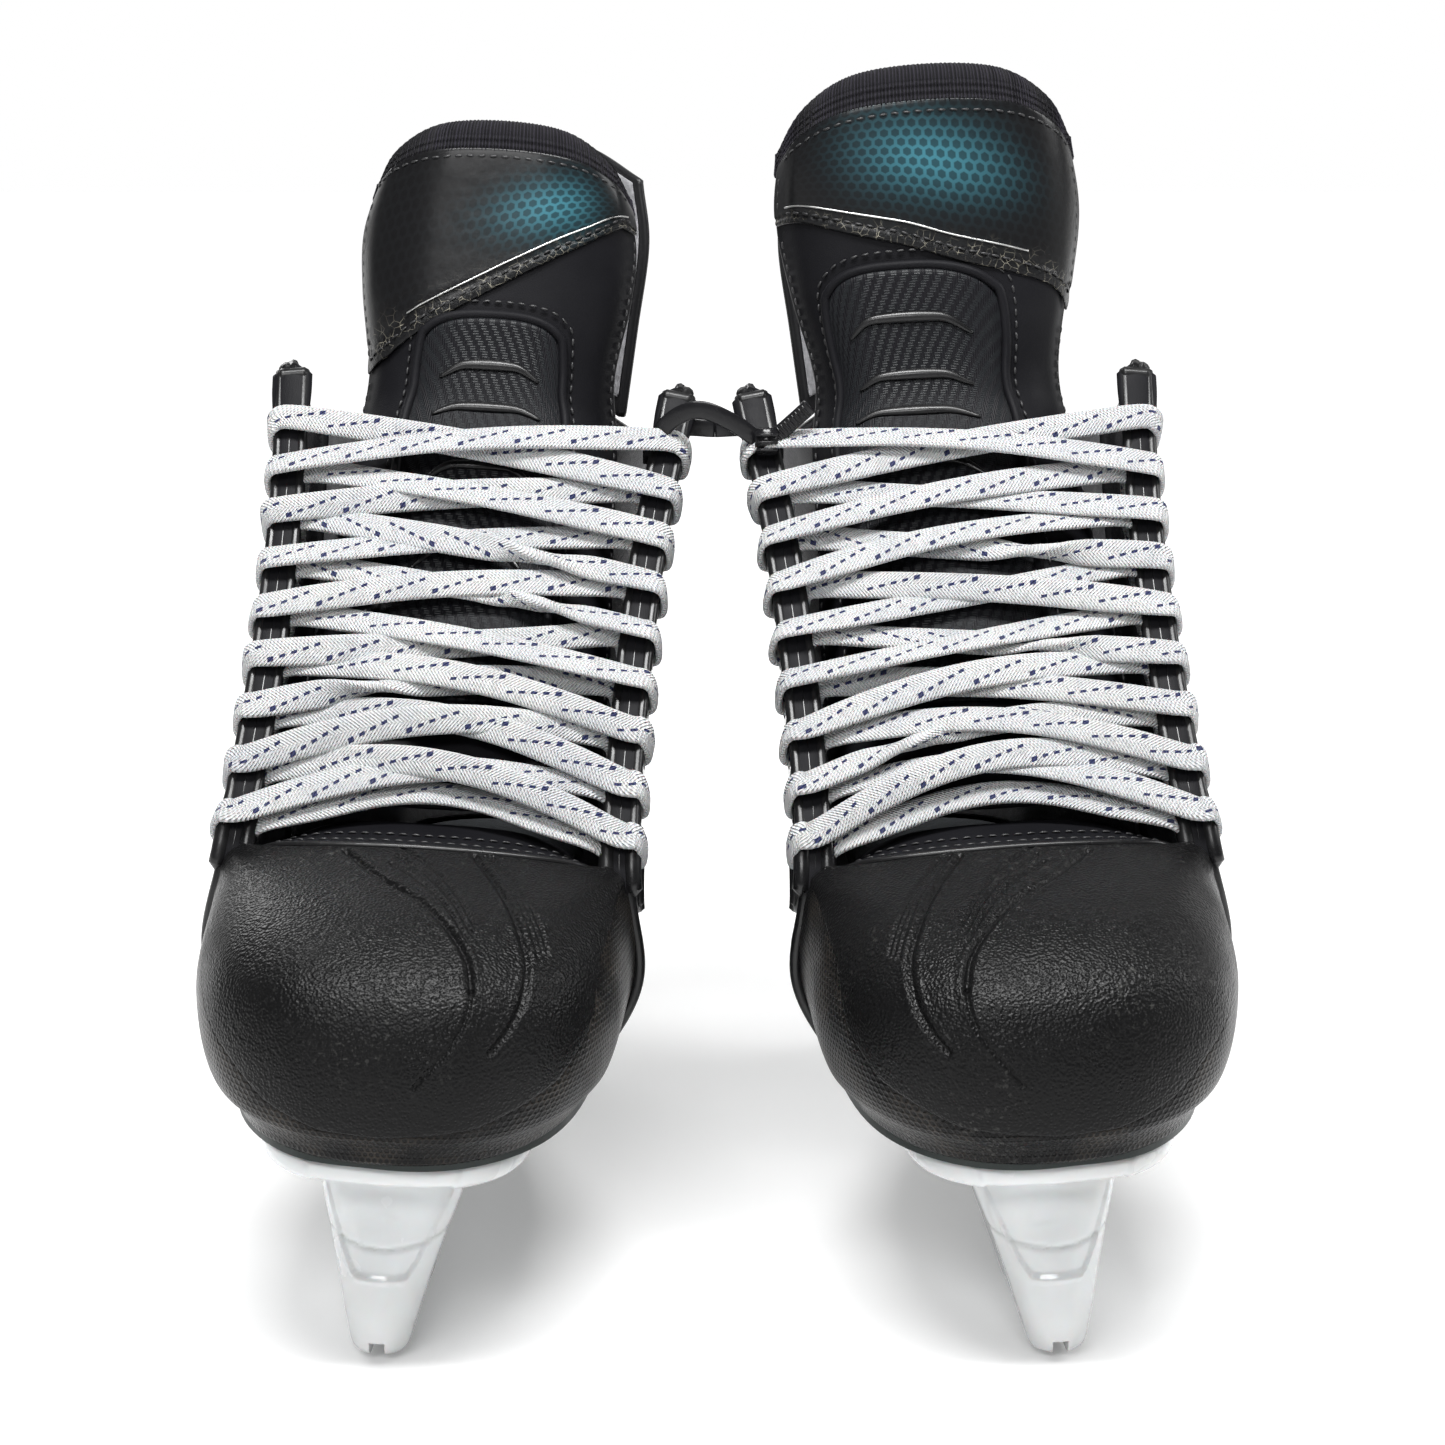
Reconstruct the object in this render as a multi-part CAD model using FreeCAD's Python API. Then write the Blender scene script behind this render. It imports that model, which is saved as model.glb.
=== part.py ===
"""A pair of ice hockey skates, laced, leaning together and joined by a cable tie.

Each skate is drawn in its own frame: x across (plus towards the pair's middle), y from the
toe tip back to the heel, z up from the holder's base. The skate at -X is placed from that
frame and the skate at +X is its mirror. Millimetres.
"""
import FreeCAD, Part
import math
import os
from FreeCAD import Placement, Rotation, Vector

# driving dimensions of one skate
SOLE_FRONT = 50.0          # underside of the outsole at the ball of the foot
SOLE_RISE = 12.0           # how much higher the heel stands
OUTSOLE_THICK = 5.0
WALL = 3.0                 # quarter shell
CAP_WALL = 2.5             # toe cap shell
FACING_THICK = 1.6
EYELET_COUNT = 10
LACED_ROWS = 9
EYELET_BORE_R = 2.6
EYELET_BARREL_R = 3.1
LACE_R = 1.3
UNDER_STRAND = 7.2         # how far the two crossing strands pass in front of the lacing edges
OVER_STRAND = 11.4
RUNNER_SLOT = 3.2
RAIL_HALF_WIDTH = 6.75
PIN_HOLE_R = 1.5
PIN_Y = 190.0              # the trigger's pin
PIN_Z = 36.0
TRIGGER_WIDTH = 10.0
RECESS_SIZE = (11.0, 19.0, 26.0)
RECESS_FRONT = 180.0
RECESS_FLOOR = 21.0
RIVET_R = 2.0
RIVET_HOLE_R = 2.1
GUARD_RIVET_R = 1.5
GUARD_RIVET_PLACES = [(0.2, 0.12), (0.8, 0.12)]

# the cable tie through the two top inner eyelets
TIE_WIDTH = 3.2
TIE_THICK = 1.1
TIE_BEND_R = 9.5
TIE_REACH = 6.0            # how far past each eyelet the strap runs before it turns
TIE_TAIL = 15.0
TIE_TAIL_DEG = -40.0
HEAD_SIZE = (5.6, 5.2, 6.0)

# how the pair stands
HALF_SPREAD = 76.5         # from the pair's middle plane to each holder
LEAN_DEG = 3.4             # tops lean towards each other
YAW_DEG = -1.9             # toes point slightly apart
TURN_Y = 140.0             # the skate is turned about this station
PAIR_CENTRE_Y = 145.0      # skate station that lies over the pair's origin

# the boot's outer surface: rows from the sole up, each from the lacing edge to the heel centre
BOOT_ROWS = [
    [(43, 78, 55.3), (46, 100, 56), (38, 150, 62.5), (33, 190, 67.3), (34, 230, 67.5), (26, 268, 67.5),
     (0, 283, 67.5)],
    [(53.5, 77, 79), (54, 100, 78), (43, 150, 82), (38, 190, 86), (38, 230, 90), (31, 270, 92), (0, 289, 92)],
    [(49.5, 77, 108), (50.5, 96, 95.5), (43, 147, 107), (38, 190, 113), (37, 230, 117), (28.5, 267, 119),
     (0, 286, 120)],
    [(48.5, 109, 145), (49, 125.6, 130.6), (43, 160, 138), (39, 195, 145), (37, 230, 149), (27, 261, 151),
     (0, 278, 152)],
    [(50, 141, 182), (49, 157.6, 167.6), (44.5, 181, 173), (41, 205, 178), (37, 231, 181), (25, 256, 182),
     (0, 270, 182)],
    [(54.5, 173, 219), (52.5, 189.6, 204.6), (47.5, 203, 200), (43, 218, 198), (36, 238, 200), (22, 256, 205),
     (0, 263, 209)],
]
# the toe cap's outer surface: rows from the sole up, each from the side's rear edge to the toe tip
TOE_ROWS = [
    [(42.5, 76, 55.5), (40, 50, 55.3), (31, 25, 55.2), (17, 11, 55.1), (0, 7, 55.1)],
    [(49, 76, 64), (48, 48, 62), (38, 20, 61), (21, 5, 60), (0, 1.5, 60)],
    [(53.5, 75, 80), (51, 46, 79), (41, 18, 78), (23, 3.5, 77), (0, 0, 77)],
    [(52.5, 73.5, 95), (48, 46, 94), (38, 22, 93), (22, 9, 92.5), (0, 6, 92)],
    [(49.5, 73.5, 105), (42, 55, 105), (32, 38, 104.5), (18, 28, 104), (0, 25, 104)],
    [(46, 74, 108), (36, 69, 109.5), (25, 66, 111), (12, 64, 112), (0, 63.5, 112.3)],
]
# the vamp between toe cap and tongue: rows from the cap's edge back, centre to side
VAMP_ROWS = [
    [(0, 64.5, 112), (12, 65, 111.7), (25, 67, 110.7), (36, 71, 109), (42, 75, 106.5)],
    [(0, 75, 113), (12, 75.5, 112.8), (25, 77, 111.6), (35, 80, 108.5), (41, 84, 103.5)],
    [(0, 86, 113.5), (12, 86.5, 113.3), (24, 88, 111.8), (33, 90, 108), (38, 94, 102)],
]
# the tongue's front surface below the flex line and above it, centre to side
TONGUE_LOW_ROWS = [
    [(0, 86.5, 119), (20, 88, 119), (34, 95.5, 117.5), (40, 107, 114)],
    [(0, 111, 146), (20, 112.5, 146), (34, 120, 144), (40, 132, 140)],
    [(0, 139, 178), (20, 140.5, 178), (33, 148, 176), (38, 160, 172)],
    [(0, 162, 204), (20, 163.5, 204), (31, 171, 203), (36, 182, 200)],
    [(0, 169.5, 215.5), (20, 171, 215.5), (30, 177.5, 215), (35, 187, 213.5)],
]
TONGUE_TOP_ROWS = [
    [(0, 170.5, 218.5), (18, 172, 218.5), (29, 178, 218.5), (34, 188, 218.5)],
    [(0, 175, 242), (20, 176.5, 242), (32, 183, 242), (37, 194, 241)],
    [(0, 178.5, 264), (20, 180, 263), (32, 186.5, 260.5), (38, 197, 256)],
    [(0, 181, 285), (18, 182.5, 283.5), (29, 188, 278), (34.5, 197, 270)],
]
GUARD_ROWS = [
    [(35, 241, 205), (23, 257.5, 209), (0, 265, 212)],
    [(36, 245, 230), (24, 261, 233), (0, 269, 236)],
    [(33, 252, 256), (21, 267, 260), (0, 273, 262)],
    [(22, 264, 273), (12, 272, 277), (0, 276, 279)],
]
# plan outlines, toe to heel, one side
SOLE_PLAN = [(0, 8), (17, 11), (31, 25), (40, 48), (44, 78), (45, 105), (38, 150), (33, 190), (34, 230),
             (26, 266), (0, 283)]
INSOLE_PLAN = [(0, 16), (14, 19), (26, 31), (34, 50), (38, 78), (38.5, 105), (31, 150), (26.5, 190), (27, 230),
               (20, 260), (0, 273)]
FRONT_FLANGE_PLAN = [(0, 10), (18, 13), (29, 26), (33, 50), (33, 85), (26, 112), (0, 118)]
REAR_FLANGE_PLAN = [(0, 178), (20, 182), (26, 205), (27, 240), (22, 266), (0, 279)]
FLANGE_THICK = 4.0
RIVET_PLACES = [(25, 34), (27, 58), (27, 84), (22, 104), (22, 205), (23, 225), (22, 246)]

# blade holder: level sections (front y, back y, width, z)
FRONT_TOWER = [(14, 118, 13.5, 0), (16, 112, 19, 18), (20, 106, 28, 34), (22, 104, 34, 42), (17, 110, 40, 46),
               (17, 110, 40, 50)]
REAR_TOWER = [(178, 274, 13.5, 0), (186, 270, 20, 20), (190, 264, 30, 44), (191, 263, 34, 54),
              (188, 266, 36, 58), (188, 266, 36, 62)]
RAIL = [(60, 230, 13.5, 0), (60, 230, 14.5, 12), (64, 226, 12, 20)]
SLOT_DEPTH = 13.0
TRIGGER_OUTLINE = [(190, 40), (183, 38), (174, 29), (170, 25.5), (171.5, 23.5), (178, 26), (186, 32), (190, 32)]

COLUMNS = 2 * (len(BOOT_ROWS[0]) - 1)      # spans across a full boot row
FACING_U = 1.0 / COLUMNS                   # the facing is the first span
EYELET_U = 0.4 / COLUMNS
HEEL_U = 0.5
LINER_U = 1.6 * FACING_U                   # the lining starts behind the facing
FACING_V = 0.4                             # row where the lacing edge starts
FIRST_EYELET_V = 0.43
EYELET_STEP_V = 0.0605
STEP = 1.0e-3                              # of u or v, for a surface's normal
ACROSS = Vector(1, 0, 0)


# ---------------------------------------------------------------- smooth surfaces
def curve_point(points, t):
    """Point at t (0 to 1) on the smooth curve through evenly weighted points."""
    spans = len(points) - 1
    k = max(0, min(int(t * spans), spans - 1))
    s = t * spans - k
    start = points[k]
    end = points[k + 1]
    before = points[k - 1] if k > 0 else start * 2 - end
    after = points[k + 2] if k + 2 <= spans else end * 2 - start
    cubic = (start - end) * 3 + after - before
    square = before * 2 - start * 5 + end * 4 - after
    return (start * 2 + (end - before) * s + square * (s * s) + cubic * (s ** 3)) * 0.5


def full_rows(rows, centre_first):
    """Both halves of each row: the given half and its mirror image, as vectors."""
    result = []
    for row in rows:
        half = [Vector(*p) for p in row]
        twin = [Vector(-p.x, p.y, p.z) for p in half]
        if centre_first:
            result.append(twin[:0:-1] + half)
        else:
            result.append(half + twin[-2::-1])
    return result


def net_point(rows, u, v):
    return curve_point([curve_point(row, u) for row in rows], v)


def skin(rows, outward):
    """Function of u, v and offset that gives a point that far outside the surface."""
    def point(u, v, offset=0.0):
        along = net_point(rows, u + STEP, v) - net_point(rows, u - STEP, v)
        up = net_point(rows, u, v + STEP) - net_point(rows, u, v - STEP)
        normal = along.cross(up)
        normal.normalize()
        return net_point(rows, u, v) + normal * (offset * outward)
    return point


def surface_face(point, u_range, v_low, v_high, offset, nu, nv):
    grid = []
    for i in range(nu):
        u = u_range[0] + (u_range[1] - u_range[0]) * i / (nu - 1)
        low = v_low(u)
        high = v_high(u)
        grid.append([point(u, low + (high - low) * j / (nv - 1), offset) for j in range(nv)])
    surface = Part.BSplineSurface()
    surface.interpolate(grid)
    return surface


def shell_patch(point, u_range, v_low, v_high, inner, outer, nu=15, nv=13):
    """Closed solid between two offsets of a surface, over a region of its u and v."""
    if not callable(v_low):
        v_low = (lambda value: lambda u: value)(v_low)
    if not callable(v_high):
        v_high = (lambda value: lambda u: value)(v_high)
    outside = surface_face(point, u_range, v_low, v_high, outer, nu, nv)
    inside = surface_face(point, u_range, v_low, v_high, inner, nu, nv)
    u0, u1, v0, v1 = outside.bounds()
    faces = [outside.toShape(), inside.toShape()]
    for iso, at in (("uIso", u0), ("uIso", u1), ("vIso", v0), ("vIso", v1)):
        first = getattr(outside, iso)(at).toShape()
        second = getattr(inside, iso)(at).toShape()
        faces.append(Part.makeRuledSurface(first, second))
    shell = Part.Shell(faces)
    shell.sewShape()
    solid = Part.Solid(shell)
    if solid.Volume < 0:
        solid.reverse()
    return solid


boot = skin(full_rows(BOOT_ROWS, False), 1)
toe = skin(full_rows(TOE_ROWS, False), -1)
vamp_skin = skin(full_rows(VAMP_ROWS, True), 1)
tongue_low = skin(full_rows(TONGUE_LOW_ROWS, True), 1)
guard = skin(full_rows(GUARD_ROWS, False), 1)


# ---------------------------------------------------------------- sole
def sole_height(y):
    """Underside of the outsole at station y."""
    t = max(0.0, min(1.0, (y - 90.0) / 110.0))
    return SOLE_FRONT + SOLE_RISE * t * t * (3 - 2 * t)


def plan_prism(outline):
    """Tall prism on a plan outline given by one side, front to back."""
    half = [Vector(x, y, 0) for x, y in outline]
    twin = [Vector(-p.x, p.y, 0) for p in half[-2:0:-1]]
    curve = Part.BSplineCurve()
    curve.interpolate(Points=half + twin, PeriodicFlag=True)
    face = Part.Face(Part.Wire(curve.toShape()))
    return face.extrude(Vector(0, 0, 120))


def sole_slab(low, high):
    """Slab that follows the sole's rise, between two heights measured from its underside."""
    stations = [-10 + 20 * k for k in range(17)]
    bottom = Part.BSplineCurve()
    bottom.interpolate(Points=[Vector(-70, y, sole_height(y) + low) for y in stations])
    top = Part.BSplineCurve()
    top.interpolate(Points=[Vector(-70, y, sole_height(y) + high) for y in stations])
    lower = bottom.toShape()
    upper = top.toShape()
    front = Part.makeLine(lower.Vertexes[0].Point, upper.Vertexes[0].Point)
    back = Part.makeLine(lower.Vertexes[-1].Point, upper.Vertexes[-1].Point)
    face = Part.Face(Part.Wire([lower, back, upper, front]))
    return face.extrude(Vector(140, 0, 0))


def rivet_places():
    """Stations of the rivets that hold the holder to the outsole."""
    return [(sign * x, y) for x, y in RIVET_PLACES for sign in (-1, 1)]


def rivet_holes(radius):
    return Part.makeCompound([Part.makeCylinder(radius, 60, Vector(x, y, 30)) for x, y in rivet_places()])


def make_rivets():
    rivets = []
    for x, y in rivet_places():
        base = sole_height(y) - FLANGE_THICK
        tail = sole_height(y) + OUTSOLE_THICK
        head = Part.makeCone(2.4, 3.2, 1.2, Vector(x, y, base - 1.4))
        clinch = Part.makeCylinder(2.9, 0.9, Vector(x, y, tail + 0.2))
        shank = Part.makeCylinder(RIVET_R, tail - base + 0.8, Vector(x, y, base - 0.4))
        rivets.append(shank.fuse([head, clinch]).removeSplitter())
    return Part.makeCompound([solid for rivet in rivets for solid in rivet.Solids])


def make_outsole():
    plate = plan_prism(SOLE_PLAN).common(sole_slab(0, OUTSOLE_THICK - 0.1))
    return plate.cut(rivet_holes(RIVET_HOLE_R))


def make_insole():
    board = plan_prism(INSOLE_PLAN).common(sole_slab(OUTSOLE_THICK + 1.4, OUTSOLE_THICK + 5.0))
    return board


# ---------------------------------------------------------------- blade holder
def stadium(y_front, y_back, width, z):
    """Closed wire, rounded at both ends, lying level."""
    r = width / 2.0
    corners = [Vector(r, y_front + r, z), Vector(0, y_front, z), Vector(-r, y_front + r, z)]
    rear = [Vector(-r, y_back - r, z), Vector(0, y_back, z), Vector(r, y_back - r, z)]
    front_arc = Part.Arc(*corners).toShape()
    rear_arc = Part.Arc(*rear).toShape()
    left = Part.makeLine(corners[2], rear[0])
    right = Part.makeLine(rear[2], corners[0])
    return Part.Wire([front_arc, left, rear_arc, right])


def tower(sections):
    wires = [stadium(*section) for section in sections]
    return Part.makeLoft(wires, True, True)


def make_holder():
    """One moulding: two towers and a rail under two flanges, slotted for a runner."""
    below_flange = sole_slab(-70, -FLANGE_THICK / 2)
    flanges = [plan_prism(plan).common(sole_slab(-FLANGE_THICK, -0.1))
               for plan in (FRONT_FLANGE_PLAN, REAR_FLANGE_PLAN)]
    front = tower(FRONT_TOWER).common(below_flange)
    rear = tower(REAR_TOWER).common(below_flange)
    body = front.fuse([rear, tower(RAIL)] + flanges)
    slot = Part.makeBox(RUNNER_SLOT, 290, SLOT_DEPTH + 1, Vector(-RUNNER_SLOT / 2, 5, -1))
    recess = Part.makeBox(*RECESS_SIZE, Vector(-RECESS_SIZE[0] / 2, RECESS_FRONT, RECESS_FLOOR))
    pin_hole = Part.makeCylinder(PIN_HOLE_R, 60, Vector(-30, PIN_Y, PIN_Z), ACROSS)
    body = body.cut([slot, recess, pin_hole, rivet_holes(RIVET_HOLE_R)])
    return body.removeSplitter()


def make_trigger():
    """Lever that hangs forward from a boss on the pin."""
    side = -TRIGGER_WIDTH / 2
    boss = Part.makeCylinder(4.0, TRIGGER_WIDTH, Vector(side, PIN_Y, PIN_Z), ACROSS)
    outline = TRIGGER_OUTLINE + TRIGGER_OUTLINE[:1]
    wire = Part.makePolygon([Vector(side, y, z) for y, z in outline])
    lever = Part.Face(wire).extrude(ACROSS * TRIGGER_WIDTH)
    bore = Part.makeCylinder(PIN_HOLE_R + 0.05, 30, Vector(-15, PIN_Y, PIN_Z), ACROSS)
    return boss.fuse(lever).cut(bore).removeSplitter()


def make_trigger_pin():
    return Part.makeCylinder(PIN_HOLE_R, 20, Vector(-10, PIN_Y, PIN_Z), ACROSS)


def make_trigger_spring():
    """Leaf spring that stands against the recess's back wall, its foot along the roof."""
    width = 7.0
    thick = 0.6
    back = RECESS_FRONT + RECESS_SIZE[1] - 0.8
    leaf = Part.makeBox(width, thick, 18, Vector(-width / 2, back, RECESS_FLOOR + 3))
    foot = Part.makeBox(width, 3.2, thick, Vector(-width / 2, back - 3.2, RECESS_FLOOR + 20.4))
    return leaf.fuse(foot).removeSplitter()


# ---------------------------------------------------------------- upper
def eyelet_place(index, sign):
    """Centre on the boot's surface and outward normal of an eyelet; sign is its side."""
    v = FIRST_EYELET_V + EYELET_STEP_V * index
    centre = boot(EYELET_U, v)
    normal = boot(EYELET_U, v, 1.0) - centre
    if sign < 0:
        centre = Vector(-centre.x, centre.y, centre.z)
        normal = Vector(-normal.x, normal.y, normal.z)
    return centre, normal


def eyelet_holes(sign):
    holes = []
    for index in range(EYELET_COUNT):
        centre, normal = eyelet_place(index, sign)
        holes.append(Part.makeCylinder(EYELET_BARREL_R + 0.05, 16, centre - normal * 8, normal))
    return Part.makeCompound(holes)


def make_eyelets(sign):
    eyelets = []
    for index in range(EYELET_COUNT):
        centre, normal = eyelet_place(index, sign)
        inside = centre - normal * (WALL + 0.9)
        outside = centre + normal * (FACING_THICK + 0.2)
        barrel = Part.makeCylinder(EYELET_BARREL_R, WALL + FACING_THICK + 1.6, inside, normal)
        rim = Part.makeCylinder(EYELET_BARREL_R + 1.3, 0.6, outside, normal)
        roll = Part.makeCylinder(EYELET_BARREL_R + 0.9, 0.5, inside, normal)
        bore = Part.makeCylinder(EYELET_BORE_R, 16, centre - normal * 8, normal)
        eyelets.append(barrel.fuse([rim, roll]).cut(bore).removeSplitter())
    return Part.makeCompound([solid for eyelet in eyelets for solid in eyelet.Solids])


def side_range(sign, start, end):
    """Range of u on one side of the boot, measured from that side's lacing edge."""
    if sign > 0:
        return (start, end)
    return (1.0 - end, 1.0 - start)


def make_quarter(sign):
    wall = shell_patch(boot, side_range(sign, 0.0, HEEL_U), 0.0, 1.0, -WALL, 0.0, 21, 15)
    return wall.cut(eyelet_holes(sign))


def make_facing(sign):
    strip = shell_patch(boot, side_range(sign, 0.0, FACING_U), FACING_V, 1.0, 0.05, FACING_THICK, 7, 15)
    return strip.cut(eyelet_holes(sign))


def make_liner(sign):
    return shell_patch(boot, side_range(sign, LINER_U, HEEL_U), 0.14, 0.965, -WALL - 4.0, -WALL - 0.4, 17, 13)


def make_heel_stay():
    return shell_patch(boot, (HEEL_U - 0.045, HEEL_U + 0.045), 0.06, 0.93, 0.35, 2.1, 9, 13)


def make_toe_cap():
    return shell_patch(toe, (0.0, 1.0), 0.0, 1.0, -CAP_WALL, 0.0, 31, 15)


def make_vamp():
    return shell_patch(vamp_skin, (0.0, 1.0), 0.0, 1.0, -2.0, 0.0, 11, 7)


# ---------------------------------------------------------------- tendon guard
def guard_bars(radius, start, length):
    """Cylinders through the guard's rivet places, from a distance outside its surface."""
    bars = []
    for u, v in GUARD_RIVET_PLACES:
        centre = guard(u, v)
        normal = guard(u, v, 1.0) - centre
        bars.append(Part.makeCylinder(radius, length, centre + normal * start, normal))
    return bars


def make_guard_rivets():
    shanks = guard_bars(GUARD_RIVET_R, -5.2, 6.0)
    heads = guard_bars(2 * GUARD_RIVET_R, 0.3, 0.8)
    return Part.makeCompound([shank.fuse(head).removeSplitter() for shank, head in zip(shanks, heads)])


def make_tendon_guard():
    flap = shell_patch(guard, (0.0, 1.0), 0.035, 1.0, -4.5, 0.0, 13, 11)
    return flap.cut(Part.makeCompound(guard_bars(GUARD_RIVET_R + 0.05, -6.0, 12)))


# ---------------------------------------------------------------- tongue
def tongue_top_rows(width, back_deg, extra):
    """The upper tongue's rows, widened, tipped back about the flex line and lengthened."""
    base_y = TONGUE_TOP_ROWS[0][0][1]
    base_z = TONGUE_TOP_ROWS[0][0][2]
    turn = math.radians(back_deg)
    rows = []
    for index, row in enumerate(TONGUE_TOP_ROWS):
        share = index / (len(TONGUE_TOP_ROWS) - 1.0)
        points = []
        for x, y, z in row:
            wide = x * (1.0 + (width - 1.0) * share)
            ahead = y - base_y
            above = (z - base_z) * (1.0 + extra * share)
            back = ahead * math.cos(turn) + above * math.sin(turn)
            high = above * math.cos(turn) - ahead * math.sin(turn)
            points.append((wide, base_y + back, base_z + max(high, 0.0 if index else high)))
        rows.append(points)
    return rows


def tongue_pieces(width, back_deg, extra, slant):
    """Every piece that bends forward with the tongue's top."""
    face = skin(full_rows(tongue_top_rows(width, back_deg, extra), True), 1)

    def panel_edge(u):
        return 0.56 + slant * (u - 0.5)

    def arch(u):
        side = (u - 0.5) / 0.2
        return 0.16 + 0.24 * math.sqrt(max(0.0, 1.0 - 0.95 * side * side))

    shell = shell_patch(face, (0.0, 1.0), 0.03, 0.93, -4.0, 0.0, 13, 11)
    felt = shell_patch(face, (0.04, 0.96), 0.06, 0.92, -8.5, -4.5, 13, 11)
    panel = shell_patch(face, (0.03, 0.97), panel_edge, 0.925, 0.1, 1.0, 15, 9)
    patch = shell_patch(face, (0.3, 0.7), 0.05, arch, 0.1, 1.8, 13, 7)
    binding = shell_patch(face, (0.02, 0.98), 0.94, 1.0, -4.5, 0.6, 15, 5)
    return {"tongue_top": shell, "tongue_felt": felt, "tongue_panel": panel, "tongue_patch": patch,
            "tongue_binding": binding}


def make_tongue():
    return shell_patch(tongue_low, (0.0, 1.0), 0.0, 1.0, -7.0, 0.0, 13, 15)


# ---------------------------------------------------------------- lace
def rounded_path(points):
    """Wire of straight runs joined by tangent arcs; each arc is as large as its runs allow."""
    edges = []
    start = points[0]
    for k in range(1, len(points) - 1):
        before = points[k] - points[k - 1]
        after = points[k + 1] - points[k]
        turn = before.getAngle(after)
        cut = 0.45 * min(before.Length, after.Length)
        before.normalize()
        after.normalize()
        entry = points[k] - before * cut
        leave = points[k] + after * cut
        radius = cut / math.tan(turn / 2.0)
        inward = after - before
        inward.normalize()
        centre = points[k] + inward * (radius / math.cos(turn / 2.0))
        toward = points[k] - centre
        toward.normalize()
        middle = centre + toward * radius
        edges.append(Part.makeLine(start, entry))
        edges.append(Part.Arc(entry, middle, leave).toShape())
        start = leave
    edges.append(Part.makeLine(start, points[-1]))
    return Part.Wire(edges)


def lacing_edge(v):
    return boot(0.0, v)


def row_v(row):
    return FIRST_EYELET_V + EYELET_STEP_V * row


def over_edge(row, side):
    """Round the facing's edge from the front and in through the eyelet."""
    centre, normal = eyelet_place(row, side)
    edge = lacing_edge(row_v(row))
    low = 1.8 if row == 0 else -1.6
    return [Vector(side * (edge.x - 7), edge.y - 6.0, edge.z + low - 0.6),
            Vector(side * (edge.x + 2.4), edge.y - 5.6, edge.z + low),
            Vector(side * (edge.x + 6.2), edge.y - 1.0, edge.z + low),
            centre + normal * 6.5,
            centre - normal * 6.4]


def across_tongue(row, side, over):
    """From behind the facing to the other side's next row; over is how far in front of the edges."""
    ahead = lacing_edge(row_v(row) + 0.012)
    middle = lacing_edge(row_v(row + 0.5))
    lift = 2.2 if row == 0 else 0.0
    return [Vector(side * (ahead.x - 13.5), ahead.y - 0.5 - lift, ahead.z + 1.0 + lift),
            Vector(side * (ahead.x - 24), ahead.y - 5.2, ahead.z + 3.0 + lift),
            Vector(side * 6, middle.y - over, middle.z + 0.4),
            Vector(-side * 22, middle.y - over * 0.9, middle.z + 2.2)]


def strand(start_side):
    """One end's route: from the bottom bar up to its last eyelet and down inside the boot."""
    points = []
    side = start_side
    over = UNDER_STRAND if start_side > 0 else OVER_STRAND
    for row in range(LACED_ROWS):
        points += over_edge(row, side)
        if row < LACED_ROWS - 1:
            points += across_tongue(row, side, over)
            side = -side
    centre, normal = eyelet_place(LACED_ROWS - 1, side)
    inside = centre - normal * 10
    return points + [inside + Vector(0, 6, -7), inside + Vector(0, 9, -18)]


def make_lace():
    up_inner = strand(1)
    up_outer = strand(-1)
    first = lacing_edge(row_v(0))
    rise = 10.0
    bar = [Vector(x, first.y - 7.0 + abs(x) * 0.04, first.z + rise - abs(x) * 0.09) for x in (-24, 0, 24)]
    path = rounded_path(up_outer[::-1] + bar + up_inner)
    start = path.Edges[0]
    profile = Part.Wire(Part.makeCircle(LACE_R, start.firstVertex().Point, start.tangentAt(start.FirstParameter)))
    lace = path.makePipeShell([profile], True, True)
    return lace, path.Length


# ---------------------------------------------------------------- placing the pair
def stand():
    """Placement of the skate at -X."""
    lean = Rotation(Vector(0, 1, 0), LEAN_DEG)
    yaw = Rotation(Vector(0, 0, 1), YAW_DEG)
    lift = RAIL_HALF_WIDTH * math.sin(math.radians(LEAN_DEG))
    where = Vector(-HALF_SPREAD, TURN_Y - PAIR_CENTRE_Y, lift)
    return Placement(where, yaw * lean) * Placement(Vector(0, -TURN_Y, 0), Rotation())


def placed(shape, side):
    copy = shape.copy()
    copy.Placement = stand() * copy.Placement
    if side == "left":
        copy = copy.mirror(Vector(0, 0, 0), Vector(1, 0, 0))
    return copy


# ---------------------------------------------------------------- cable tie
def tie_centre():
    """Midpoint of the strap's back run, between the two top inner eyelets."""
    eyelet = stand().multVec(eyelet_place(EYELET_COUNT - 1, 1)[0])
    return Vector(0, eyelet.y, eyelet.z), -eyelet.x


def slot_prism(centre, half, radius, height):
    """Upright prism with rounded ends, long in x."""
    box = Part.makeBox(2 * half, 2 * radius, height, centre + Vector(-half, -radius, -height / 2))
    ends = [Part.makeCylinder(radius, height, centre + Vector(s * half, 0, -height / 2)) for s in (-1, 1)]
    return box.fuse(ends)


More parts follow.
